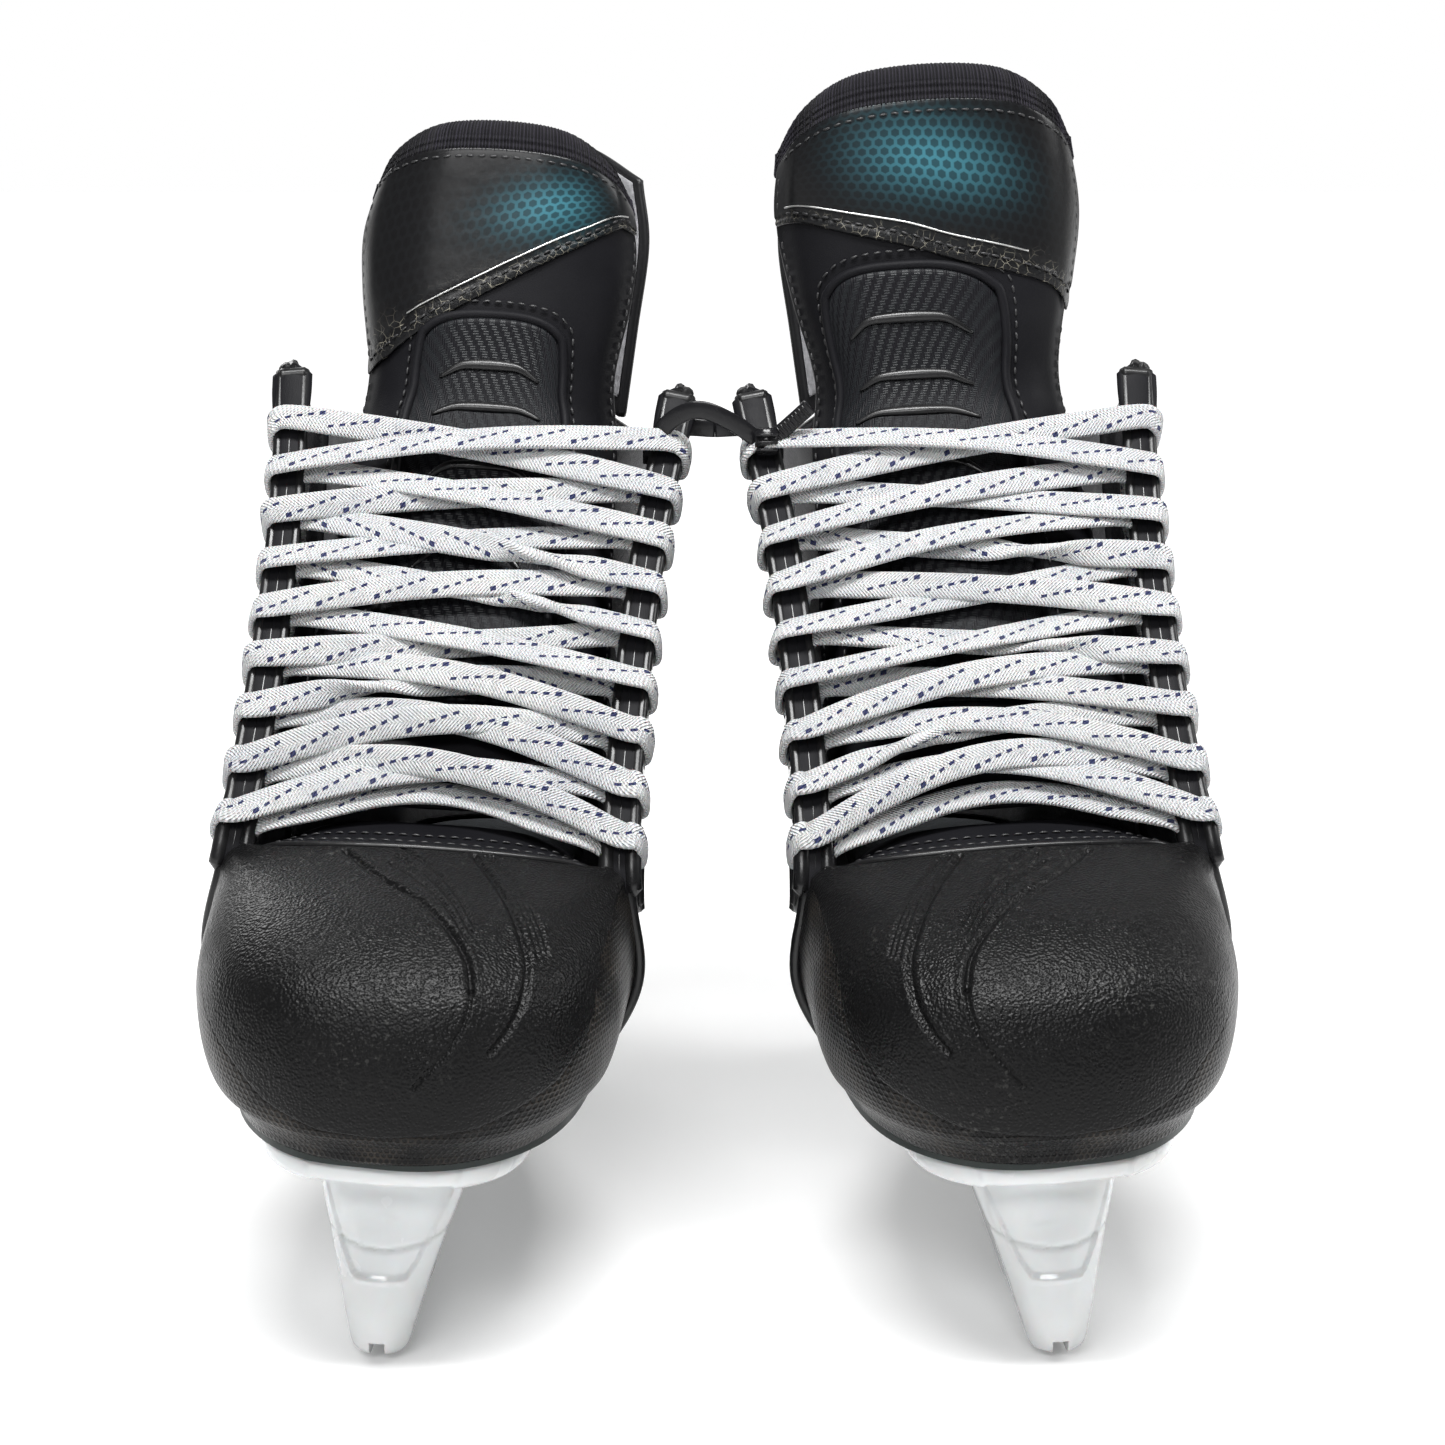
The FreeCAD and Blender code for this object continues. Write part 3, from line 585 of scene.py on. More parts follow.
def toe_plastic():
    m = Nodes("toe_plastic", (0.005, 0.005, 0.0052), 0.3, Specular_IOR_Level=0.12)
    colour = wear_colour(m, (0.005, 0.005, 0.0052), (0.08, 0.08, 0.075), 700.0, 0.6, 0.7, 0.5)
    m.uneven_roughness(60.0, 4.0, 0.25, 0.4)
    grain = m.voronoi(1500.0, "SMOOTH_F1")
    zone = m.mark("mesh_zone")
    along, up = m.surf()
    cells = m.ramp(hex_cells(m, along, up, 1.8), 0.45, 0.85)
    glint = m.times(m.times(cells, zone), m.ramp(m.noise(90.0), 0.4, 0.7))
    m.set("Base Color", m.mix(m.times(glint, 0.6), colour, (0.05, 0.042, 0.034)))
    plain = m.minus(1.0, zone)
    m.bump(m.times(grain, plain), 0.00032, 1.0)
    m.bump(m.times(cells, zone), 0.0005, 0.9)
    m.bump(m.noise(2600.0, 2.0), 0.00004, 0.5)
    return m.material


def gloss_shell(name, roughness=0.16):
    m = Nodes(name, (0.005, 0.005, 0.0052), roughness, Specular_IOR_Level=0.3, Coat_Weight=0.12,
              Coat_Roughness=0.1)
    wear_colour(m, (0.006, 0.006, 0.0065), (0.07, 0.07, 0.072), 1200.0, 0.6, 0.7, 0.4)
    m.uneven_roughness(90.0, 4.0, roughness * 0.8, roughness * 1.8)
    m.bump(m.noise(160.0, 3.0), 0.0006, 0.25)
    m.bump(m.noise(2200.0, 2.0), 0.00004, 0.4)
    return m.material


def boot_shell():
    """Quarters: composite with a fine hexagon weave in the marked zone, glossy elsewhere."""
    m = Nodes("boot_shell", (0.006, 0.006, 0.0065), 0.2, Specular_IOR_Level=0.28, Coat_Weight=0.1,
              Coat_Roughness=0.1)
    zone = m.mark("mesh_zone")
    along, up = m.surf()
    cells = m.ramp(hex_cells(m, along, up, 3.0), 0.5, 0.9)
    cells = m.times(cells, zone)
    m.set("Base Color", m.mix(m.times(cells, 0.6), (0.007, 0.007, 0.0075), (0.022, 0.022, 0.024)))
    m.set("Roughness", m.ramp(zone, 0.0, 1.0, 0.17, 0.4))
    m.bump(cells, 0.0005, 0.7)
    m.bump(m.noise(180.0, 3.0), 0.0006, 0.2)
    m.bump(m.noise(2400.0, 2.0), 0.00004, 0.4)
    return m.material


def matte_leather():
    m = Nodes("matte_leather", (0.008, 0.008, 0.009), 0.5, Specular_IOR_Level=0.08)
    tone = m.ramp(m.noise(35.0, 4.0), 0.3, 0.7)
    m.set("Base Color", m.mix(tone, (0.005, 0.005, 0.0062), (0.008, 0.008, 0.0095)))
    m.uneven_roughness(50.0, 4.0, 0.42, 0.6)
    m.bump(m.voronoi(1500.0, "DISTANCE_TO_EDGE"), 0.00012, 0.45)
    m.bump(m.noise(90.0, 3.0), 0.0008, 0.25)
    return m.material


def panel_gloss():
    """Glossy printed film: a faint honeycomb print, a teal painted reflection in one soft spot patterned by
    the honeycomb, cracked along the lower edge.
    """
    m = Nodes("panel_gloss", (0.005, 0.006, 0.007), 0.3, Specular_IOR_Level=0.15, Coat_Weight=0.08,
              Coat_Roughness=0.12)
    along, up = m.surf()
    cells = m.ramp(hex_cells(m, along, up, 3.1), 0.62, 0.8)
    # painted reflection: a soft teal spot of reflected light on the film, patterned by the honeycomb print
    painted_reflection = m.mark("painted_reflection")
    reflection_share = m.times(m.plus(0.35, m.times(cells, 0.65)), painted_reflection)
    faint = m.times(cells, 0.25)
    base = m.mix(faint, (0.006, 0.006, 0.0065), (0.011, 0.012, 0.013))
    colour = m.mix(reflection_share, base, (0.035, 0.13, 0.165))
    cracks = m.times(m.ramp(m.voronoi(420.0, "DISTANCE_TO_EDGE"), 0.03, 0.0), m.mark("crack"))
    colour = m.mix(m.times(cracks, m.ramp(m.noise(300.0), 0.45, 0.6)), colour, (0.32, 0.3, 0.24))
    m.set("Base Color", colour)
    m.bump(m.times(m.noise(420.0, 4.0, 0.6), m.mark("crack")), 0.0009, 0.7)
    m.bump(m.noise(120.0, 3.0), 0.0008, 0.22)
    return m.material


def patch_twill():
    """Moulded rubber with a two-by-two twill relief."""
    m = Nodes("patch_rubber", (0.014, 0.014, 0.016), 0.42, Specular_IOR_Level=0.12)
    along, up = m.surf()
    pitch = 1.5
    row = m.math("FLOOR", m.math("DIVIDE", up, pitch))
    phase = m.plus(m.math("DIVIDE", along, pitch * 2), m.times(row, 0.25))
    square = m.math("GREATER_THAN", m.math("FRACT", phase), 0.5)
    threads = m.math("SINE", m.times(m.mix_value(square, along, up), 9.0))
    m.set("Base Color", m.mix(square, (0.005, 0.005, 0.0065), (0.010, 0.011, 0.0125)))
    m.set("Roughness", m.ramp(square, 0.0, 1.0, 0.5, 0.34))
    m.bump(threads, 0.00008, 0.6)
    m.bump(square, 0.00012, 0.5)
    m.bump(m.noise(900.0, 2.0), 0.00006, 0.4)
    return m.material


def knit():
    m = Nodes("knit", (0.012, 0.011, 0.014), 0.85, Specular_IOR_Level=0.15, Sheen_Weight=0.02,
              Sheen_Roughness=0.5)
    along, up = m.surf()
    ribs = m.math("SINE", m.times(along, 5.5))
    rows = m.math("SINE", m.times(up, 3.2))
    # painted shade: rib valleys darker and rib crests lighter, following the ribs' relief
    m.set("Base Color", m.mix(m.ramp(ribs, -1.0, 1.0), (0.004, 0.004, 0.005), (0.022, 0.020, 0.028)))
    m.bump(ribs, 0.0004, 1.0)
    m.bump(rows, 0.00015, 0.7)
    m.bump(m.noise(3000.0, 2.0), 0.0001, 0.6)
    return m.material


def lace_cotton():
    """Flat woven lace: herringbone ribs with painted shade in their grooves, a navy tracer in slanting groups
    of ticks, slight soiling.
    """
    m = Nodes("lace_cotton", (0.66, 0.66, 0.65), 0.85, Sheen_Weight=0.1, Sheen_Roughness=0.5,
              Subsurface_Weight=0.06, Subsurface_Scale=0.002)
    along, across = m.surf()
    side = m.math("ABSOLUTE", across)
    weave = m.math("SINE", m.times(m.plus(along, m.times(side, 0.9)), 6.5))
    cords = m.math("SINE", m.times(across, 7.0))
    period = 15.0
    s = m.times(m.math("FRACT", m.math("DIVIDE", along, period)), period)
    line = m.plus(m.times(s, 0.30), -2.4)
    near = m.math("ABSOLUTE", m.minus(across, line))
    beat = m.math("FRACT", m.math("DIVIDE", s, 3.0))
    size = m.plus(0.42, m.times(m.math("LESS_THAN", s, 3.0), 0.25))
    tick = m.times(m.math("LESS_THAN", near, size), m.math("LESS_THAN", beat, 0.52))
    shade = m.ramp(m.noise(60.0, 4.0), 0.35, 0.7)
    cloth = m.mix(shade, (0.68, 0.68, 0.67), (0.56, 0.57, 0.585))
    dirt = m.times(m.ramp(m.noise(240.0, 3.0), 0.58, 0.75), 0.35)
    cloth = m.mix(dirt, cloth, (0.36, 0.35, 0.33))
    # painted shade: the weave's low grooves darkened to a cool grey
    cloth = m.mix(m.ramp(weave, -1.0, 0.2, 0.45, 0.0), cloth, (0.24, 0.26, 0.3))
    m.set("Base Color", m.mix(tick, cloth, (0.004, 0.010, 0.075)))
    m.bump(weave, 0.0003, 1.0)
    m.bump(cords, 0.00008, 0.5)
    m.bump(m.noise(2500.0, 3.0), 0.00015, 0.6)
    return m.material


def holder_plastic():
    m = Nodes("white_plastic", (0.55, 0.57, 0.58), 0.2, Coat_Weight=0.3, Coat_Roughness=0.08,
              Subsurface_Weight=0.12, Subsurface_Scale=0.004)
    tone = m.ramp(m.noise(22.0, 4.0), 0.35, 0.7)
    colour = m.mix(tone, (0.58, 0.60, 0.61), (0.48, 0.485, 0.48))
    scuffs = m.times(m.ramp(m.noise(480.0, 5.0, 0.7), 0.6, 0.7), m.ramp(m.noise(45.0), 0.52, 0.68))
    seam = m.mark("seam")
    colour = m.mix(m.times(scuffs, 0.4), colour, (0.45, 0.45, 0.43))
    m.set("Base Color", m.mix(m.times(seam, 0.6), colour, (0.3, 0.31, 0.3)))
    m.uneven_roughness(70.0, 4.0, 0.14, 0.3)
    m.bump(m.noise(55.0, 3.0), 0.0008, 0.18)
    m.bump(m.noise(700.0, 3.0), 0.00004, 0.3)
    return m.material


def plain_plastic(name, colour, roughness, grain=1400.0):
    m = Nodes(name, colour, roughness, Specular_IOR_Level=0.25)
    pale = tuple(min(1.0, c * 2.2 + 0.02) for c in colour)
    wear_colour(m, colour, pale, grain, 0.58, 0.7, 0.5)
    m.uneven_roughness(80.0, 3.0, roughness * 0.85, roughness * 1.25)
    m.bump(m.noise(grain, 3.0), 0.0001, 0.5)
    return m.material


def soft_lining(name, colour):
    m = Nodes(name, colour, 0.92, Sheen_Weight=0.15, Sheen_Roughness=0.6)
    pale = tuple(c * 1.7 for c in colour)
    m.set("Base Color", m.mix(m.ramp(m.noise(500.0, 4.0), 0.3, 0.7), colour, pale))
    m.bump(m.noise(1600.0, 4.0, 0.7), 0.0003, 0.8)
    m.bump(m.voronoi(700.0), 0.0002, 0.4)
    return m.material


def steel():
    m = Nodes("steel", (0.55, 0.55, 0.54), 0.3, Metallic=1.0)
    m.uneven_roughness(300.0, 4.0, 0.2, 0.45)
    m.bump(m.noise(1800.0, 3.0), 0.00005, 0.5)
    return m.material


def enamel():
    m = Nodes("eyelet_enamel", (0.012, 0.012, 0.012), 0.22, Metallic=0.3, Coat_Weight=0.6)
    chips = m.ramp(m.noise(900.0, 3.0), 0.6, 0.72)
    m.set("Base Color", m.mix(chips, (0.012, 0.012, 0.012), (0.2, 0.19, 0.18)))
    m.bump(m.noise(1500.0, 3.0), 0.00004, 0.4)
    return m.material


def tie_nylon():
    m = Nodes("tie_nylon", (0.008, 0.008, 0.009), 0.2, Specular_IOR_Level=0.3)
    m.uneven_roughness(200.0, 3.0, 0.14, 0.3)
    m.bump(m.noise(900.0, 2.0), 0.00005, 0.4)
    return m.material


def thread():
    m = Nodes("thread", (0.02, 0.02, 0.021), 0.4, Specular_IOR_Level=0.4)
    m.set("Base Color", m.mix(m.noise(900.0), (0.008, 0.008, 0.009), (0.03, 0.03, 0.031)))
    m.bump(m.noise(3500.0, 2.0), 0.0001, 0.6)
    return m.material


MAT = {
    "toe": toe_plastic(),
    "shell": boot_shell(),
    "facing": gloss_shell("facing_gloss", 0.3),
    "rand": gloss_shell("edge_gloss", 0.25),
    "leather": matte_leather(),
    "panel": panel_gloss(),
    "patch": patch_twill(),
    "knit": knit(),
    "lace": lace_cotton(),
    "holder": holder_plastic(),
    "trigger": plain_plastic("trigger_plastic", (0.016, 0.016, 0.017), 0.38),
    "outsole": plain_plastic("outsole_composite", (0.012, 0.017, 0.016), 0.4, 600.0),
    "guard": plain_plastic("guard_plastic", (0.010, 0.010, 0.011), 0.34),
    "lining": soft_lining("lining", (0.02, 0.02, 0.022)),
    "pale_lining": soft_lining("pale_lining", (0.19, 0.19, 0.2)),
    "felt": soft_lining("felt", (0.028, 0.028, 0.03)),
    "insole": soft_lining("insole_foam", (0.03, 0.034, 0.038)),
    "steel": steel(),
    "enamel": enamel(),
    "tie": tie_nylon(),
    "thread": thread(),
}


# ---------------------------------------------------------------- places of the details
FACING_ROLLS = ((1.7, 1.5), (-4.6, 1.5))     # offset from the boot, radius
TOE_THICK = 2.5
VAMP_THICK = 2.0
QUARTER_THICK = 3.0
GUARD_THICK = 2.4
HOLDER_VOXEL = 0.0008     # metres
LACE_WIDTH = 7.7
LACE_THICK = 1.9
LACE_TWISTS = {"right": {(2, -1), (4, 1), (5, 1)}, "left": {(1, 1), (3, -1), (5, -1)}}
# grooves and the honeycomb's upper edge on the toe cap, as (u, v) on the right skate
TOE_OUTER_GROOVE = [(0.678, 0.985), (0.564, 0.918), (0.477, 0.866), (0.427, 0.8), (0.397, 0.711),
                    (0.392, 0.616), (0.399, 0.544), (0.416, 0.471), (0.457, 0.354)]
TOE_INNER_GROOVE = [(0.364, 0.995), (0.334, 0.93), (0.312, 0.853), (0.301, 0.766), (0.299, 0.683),
                    (0.316, 0.579), (0.339, 0.506), (0.366, 0.444)]
TOE_SKIRT = 3.4     # how far the cap's lower rim reaches down over the outsole
MESH_EDGE_U = [0.0, 0.152, 0.204, 0.257, 0.369, 0.5, 0.576, 0.659, 0.711, 0.783, 1.0]
MESH_EDGE_V = [0.78, 0.601, 0.427, 0.326, 0.235, 0.19, 0.205, 0.269, 0.342, 0.424, 0.72]
# tongue: the film's lower edge, its painted reflection spot (u, v, half-width, half-height), patch limits and
# chevrons
PANEL_EDGE = {"right": ([0, 0.2, 0.362, 0.518, 0.644, 0.87, 1], [0.555, 0.6, 0.658, 0.73, 0.791, 0.88, 0.9]),
              "left": ([0, 0.199, 0.452, 0.571, 0.845, 1], [0.66, 0.703, 0.75, 0.781, 0.836, 0.86])}
PAINTED_REFLECTION = {"right": (0.62, 0.875, 0.10, 0.05), "left": (0.50, 0.895, 0.13, 0.05)}
PATCH = {"right": (0.335, 0.685, 0.12, 0.585, 0.666), "left": (0.36, 0.79, 0.12, 0.63, 0.735)}
CHEVRONS = {"right": (0.589, 0.48, 0.37, 0.27), "left": (0.665, 0.575, 0.475, 0.38, 0.28)}
# one chevron from end to end: share of the patch's half-width, and v above its place
CHEVRON = [(-0.66, -0.022), (-0.42, 0.0), (-0.2, 0.005), (0.2, 0.005), (0.42, 0.0), (0.66, -0.022)]
# holder outlines: tower sections (front y, back y, width, z) and flange plans (half width, y)
FRONT_TOWER = [(19, 112, 8.5, 0.3), (16.4, 114, 12.5, 1.4), (14.8, 116, 14.6, 4), (14.2, 116, 16.0, 9),
               (15.2, 113, 20.5, 18), (16.8, 110, 26, 27), (18.6, 107, 31.5, 35), (20, 105.5, 35.5, 42),
               (18.5, 108, 38.5, 46), (17, 110, 41, 50)]
REAR_TOWER = [(178, 274, 13.5, 0), (182, 272, 16.5, 10), (186, 270, 20, 20), (188.5, 267, 25, 32),
              (190, 264, 30, 44), (190.5, 263.5, 33, 53), (189, 265, 35, 58), (188, 266, 36, 62)]
RAIL = [(60, 230, 13.5, 0), (60, 230, 14.5, 8), (62, 228, 14, 14), (64, 226, 12, 20)]
FRONT_FLANGE_PLAN = [(2, 10), (18, 13), (29, 26), (33, 50), (33, 85), (26, 112), (2, 118)]
REAR_FLANGE_PLAN = [(2, 178), (20, 182), (26, 205), (27, 240), (22, 266), (2, 279)]
HOLDER_CUTS = [((3.2, 248, 14), (0, 147, 6)), ((3.6, 290, 9), (0, 150, 0)), ((11, 19, 26), (0, 189.5, 34))]
FLANGE_THICK = 5.6
TIE_WIDTH = 4.8
TIE_THICK = 1.3
PAINT = {"trigger": "trigger", "trigger_pin": "steel", "trigger_spring": "steel", "holder_rivets": "steel",
         "outsole": "outsole", "insole": "insole", "heel_stay": "rand", "eyelets_inner": "enamel",
         "eyelets_outer": "enamel", "guard_rivets": "steel"}


# ---------------------------------------------------------------- riding and shared pieces
def keep(obj, side, body, slot, *nodes):
    """Stands for the CAD nodes and rides on one of the side's bodies; slot is not used.

    A piece on "tongue" has its transform baked in instead, riding on no body.
    """
    if nodes:
        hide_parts(*nodes)
    if body == "tongue":
        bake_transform(obj)
    else:
        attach(obj, side + "_" + body)
    return obj


def on_skin(skin, line, offset, step=0.8):
    """Evenly spaced points and normals along a smooth line given as (u, v) places on a skin."""
    uv = curve(line, np.linspace(0, 1, 40 * len(line)))
    path = skin.at(uv[:, 0], uv[:, 1], np.full(len(uv), offset))
    normal = skin.normal(uv[:, 0], uv[:, 1])
    length = lengths(path)
    at = np.linspace(0, length[-1], max(3, int(length[-1] / step) + 1))
    return at_lengths(at, length, path), unit(at_lengths(at, length, normal))


def sheet(side, name, body, slot, node, skin, u, v, top, under, material, marks=None, rim=4):
    """A closed sheet between two offsets from a skin, standing for a CAD node."""
    flat = np.zeros(u.shape)
    obj = slab(side + "_" + name, skin.at(u, v, flat + top), skin.at(u, v, flat + under), MAT[material], side,
               marks, rim)
    return keep(obj, side, body, slot, *([side + "_" + node] if node else []))


def sew(side, name, body, slot, skin, line, offset):
    """A row of stitches along a line on a skin."""
    path, normals = on_skin(skin, line, offset)
    keep(stitches(side + "_" + name, path, normals, MAT["thread"], side), side, body, slot)


def bar(side, name, body, slot, path, radius, material, sides=12, flatten=None):
    """A tube along a path."""
    keep(tube(side + "_" + name, path, radius, MAT[material], side, sides, flatten), side, body, slot)


def bar_on(side, name, body, slot, skin, line, offset, radius, material, step=0.8, sides=12):
    """A tube along a line on a skin."""
    bar(side, name, body, slot, on_skin(skin, line, offset, step)[0], radius, material, sides)


# ---------------------------------------------------------------- toe cap and vamp
def toe_cap(side):
    nu, nv = 640, 330
    u, v = patch_grid((0.0, 1.0), 0.0, 1.0, nu, nv)
    points = toe.base(u, v)
    normals = toe.normal(u, v)
    flat = points.reshape(-1, 3)
    lift = np.zeros(len(flat))
    t = np.linspace(0, 1, 70)
    for line, depth, width in toe_grooves():
        uv = curve(np.array(line), t)
        distance = distance_to_path(flat, toe.base(uv[:, 0], uv[:, 1]))
        lift -= depth * hump(distance, 0, width)
        lift += 0.2 * depth * hump(distance, 2.4 * width, width)
    lift = lift.reshape(nu, nv)
    edge = np.interp(u, MESH_EDGE_U, MESH_EDGE_V)
    zone = smooth_step(edge - v, -0.004, 0.01)
    lift -= 0.35 * hump(edge, v, 0.006) + 0.3 * zone
    lift += 0.5 * smooth_step(0.045 - v, 0.0, 0.02)
    outer = points + normals * lift[..., None]
    inner = points - normals * TOE_THICK
    skirt = TOE_SKIRT * smooth_step(0.12 - v, 0.0, 0.12)
    outer[..., 2] -= skirt
    inner[..., 2] -= skirt
    cap = slab(side + "_toe_cap_shell", outer, inner, MAT["toe"], side, {"mesh_zone": zone})
    keep(cap, side, "skate", "toe_plastic", side + "_toe_cap")


def toe_grooves():
    """Lines moulded into the cap: (u, v) places, depth and width in millimetres."""
    grooves = [(TOE_OUTER_GROOVE[:6], 1.1, 0.75), (TOE_OUTER_GROOVE[5:], 0.5, 0.5),
               (TOE_INNER_GROOVE, 0.9, 0.8)]
    for index in (1, 2, 3):
        above = [(u - 0.006 * index, v + 0.018 + 0.022 * index) for u, v in TOE_OUTER_GROOVE[1:5]]
        within = [(u - 0.012 - 0.010 * index, v) for u, v in TOE_INNER_GROOVE[:5]]
        grooves.append((above, 0.55, 0.5))
        grooves.append((within, 0.45, 0.5))
    return grooves


def vamp_flap(side):
    u, v = patch_grid((0.0, 1.0), 0.0, 1.0, 120, 40)
    crown = 0.8 * np.sin(math.pi * np.clip(v / 0.35, 0, 1))
    sheet(side, "vamp_leather", "skate", "matte_leather", "vamp", vamp, u, v, crown, -VAMP_THICK, "leather")
    for row, place in enumerate((0.16, 0.46)):
        line = [(x, place) for x in np.linspace(0.03, 0.97, 9)]
        sew(side, "vamp_stitch_%d" % (row + 1), "skate", "lining", vamp, line, 0.75 - 0.5 * row)
    line = [(x, 0.03) for x in np.linspace(0.0, 1.0, 11)]
    bar_on(side, "vamp_welt", "skate", "matte_leather", vamp, line, 0.2, 0.9, "rand", sides=10)


# ---------------------------------------------------------------- boot sides, facings and eyelets
def edge_u(sign, u):
    return u if sign > 0 else 1.0 - u


def quarters(side):
    for sign, part in PARTS:
        ends = (0.0, 0.5) if sign > 0 else (0.5, 1.0)
        u, v = patch_grid(ends, 0.0, 1.0, 230, 170)
        reach = np.where(u < 0.5, u, 1 - u)
        swoop = 0.30 + 0.42 * smooth_step(reach, 0.06, 0.40)
        panel = smooth_step(v - swoop, -0.004, 0.004) * smooth_step(reach, 0.085, 0.092)
        line = hump(v, swoop, 0.006) * smooth_step(reach, 0.03, 0.05)
        rand_line = hump(v, 0.12, 0.005)
        lift = 0.55 * panel - 0.45 * line - 0.3 * rand_line
        zone = smooth_step(v, 0.13, 0.135) * smooth_step(swoop - v, 0.0, 0.01)
        zone = zone * smooth_step(reach, 0.05, 0.08)
        node = "quarter_" + part
        sheet(side, node + "_shell", "skate", "boot_shell", node, boot, u, v, lift, -QUARTER_THICK, "shell",
              {"mesh_zone": zone})
        inset = [(edge_u(sign, r), 0.318 + 0.42 * smooth_step(r, 0.06, 0.40))
                 for r in np.linspace(0.095, 0.47, 12)]
        sew(side, "quarter_stitch_" + part, "skate", "boot_shell", boot, inset, 0.6)
        vent_ring(side, sign, part)


def vent_ring(side, sign, part):
    """Small eyelet-like air vent low on the front of each side."""
    u, v = np.array([edge_u(sign, 0.035)]), np.array([0.3])
    centre = boot.at(u, v, 0.3)[0]
    normal = boot.normal(u, v)[0]
    first = unit(np.cross(normal, [0, 0, 1.0]))
    second = np.cross(normal, first)
    angle = np.linspace(0, 2 * math.pi, 33)
    path = centre + first * (np.cos(angle) * 3.2)[:, None] + second * (np.sin(angle) * 3.2)[:, None]
    bar(side, "vent_ring_" + part, "skate", "eyelet_metal", path, 0.8, "enamel", 10)


def facing(side, sign, part):
    """Glossy lacing strip with layered, rolled edges and a thick lower end."""
    u, v = patch_grid(sorted((edge_u(sign, 0.0), edge_u(sign, FACING_U))), FACING_V - 0.02, 1.0, 40, 190)
    reach = np.where(u < 0.5, u, 1 - u) / FACING_U
    crown = 1.5 + 0.35 * hump(reach, 0.88, 0.05) + 0.5 * hump(reach, 0.07, 0.06)
    crown = crown + 0.7 * smooth_step(FACING_V + 0.07 - v, 0.0, 0.05)
    sheet(side, "facing_%s_strip" % part, "skate", "facing_gloss", "facing_" + part, boot, u, v, crown, 0.02,
          "facing")
    foot = FACING_V - 0.035
    line = [(edge_u(sign, 0.0), t) for t in np.linspace(foot, 0.99, 30)]
    for index, (offset, radius) in enumerate(FACING_ROLLS):
        path, _ = on_skin(boot, line, offset, 1.5)
        low = smooth_step(FACING_V + 0.05 - np.linspace(foot, 0.99, len(path)), 0.0, 0.05)
        bar(side, "facing_roll_%s_%d" % (part, index + 1), "skate", "facing_gloss", path,
            radius * (1 + 0.5 * low), "facing")
    facing_core(side, sign, part, foot)
    line = [(edge_u(sign, t), 0.995) for t in np.linspace(0.0, FACING_U * 1.02, 8)]
    bar_on(side, "facing_top_" + part, "skate", "facing_gloss", boot, line, 0.2, 2.3, "facing")
    line = [(edge_u(sign, 0.002), t) for t in np.linspace(0.01, FACING_V, 14)]
    for index, offset in enumerate((0.5, -1.6)):
        bar_on(side, "toe_seam_%s_%d" % (part, index + 1), "skate", "boot_shell", boot, line, offset, 1.6,
               "facing")
    for index in range(3):
        share = 0.12 + 0.3 * index
        line = [(edge_u(sign, FACING_U * (share + 0.15 * t)), FACING_V + 0.075 - 0.095 * t)
                for t in (0, 0.5, 1)]
        bar_on(side, "facing_ridge_%s_%d" % (part, index + 1), "skate", "facing_gloss", boot, line, 2.2, 1.15,
               "facing", 1.0, 10)
    line = [(edge_u(sign, FACING_U * 0.8), t) for t in np.linspace(FACING_V + 0.02, 0.98, 12)]
    sew(side, "facing_stitch_" + part, "skate", "facing_gloss", boot, line, 1.75)


def facing_core(side, sign, part, foot):
    """Flat filling between the rolled edges, flared and closed at its top."""
    crown = 0.985
    path, normals = on_skin(boot, [(edge_u(sign, 0.0), t) for t in np.linspace(foot, crown, 30)], -1.4)
    wide = 4.6 + 0.9 * smooth_step(np.linspace(foot, crown, len(path)), 0.9, 0.97)
    beside = unit(np.cross(np.gradient(path, axis=0), normals))
    bar(side, "facing_core_" + part, "skate", "facing_gloss", path, wide, "leather", 20, (beside, 0.32))
    top = boot.at(np.full(12, edge_u(sign, 0.0)), np.full(12, crown), np.linspace(1.6, -5.0, 12))
    bar(side, "facing_end_" + part, "skate", "facing_gloss", top, 2.1, "facing")


# ---------------------------------------------------------------- laces
class Edge:
    """Lacing edge of one side at an eyelet row: edge point, outward normal, forward direction, eyelet."""

    def __init__(self, sign, row):
        v = np.array([FIRST_EYELET_V + EYELET_STEP_V * row])
        self.sign = sign
        self.point = boot.base(np.array([edge_u(sign, 0.0)]), v)[0]
        behind = boot.base(np.array([edge_u(sign, 0.03)]), v)[0]
        self.normal = boot.normal(np.array([edge_u(sign, 0.012)]), v)[0]
        self.forward = unit(self.point - behind)
        self.eyelet = boot.base(np.array([edge_u(sign, EYELET_U)]), v)[0]
        self.eyelet_normal = boot.normal(np.array([edge_u(sign, EYELET_U)]), v)[0]


LACE_OUT = unit(np.array([0.0, -0.76, 0.65]))
LACE_UP = unit(np.array([0.0, 0.65, 0.76]))


def wrap(edge):
    """Tape from the eyelet's outside forward and round the facing's front edge."""
    n, a, e = edge.normal, edge.forward, edge.point
    return [(edge.eyelet - edge.eyelet_normal * 0.5, edge.eyelet_normal, 0.5),
            (edge.eyelet + edge.eyelet_normal * 3.6 + a * 2.5, edge.eyelet_normal, 0.8),
            (e + n * 4.0 - a * 1.0, n, 0.95),
            (e + n * 2.6 + a * 3.0, unit(n + a), 0.95),
            (e - n * 2.0 + a * 4.6, unit(a + LACE_OUT * 0.5), 0.95)]


def tuck(edge):
    """Tape from in front of the tongue back behind the facing, to the eyelet's inside."""
    n, a, e = edge.normal, edge.forward, edge.point
    return [(e - n * 7.5 + a * 1.0, unit(LACE_OUT + n), 1.0),
            (e - n * 5.6 - a * 5.0, n, 1.0),
            (edge.eyelet - n * 4.4, n, 0.7)]


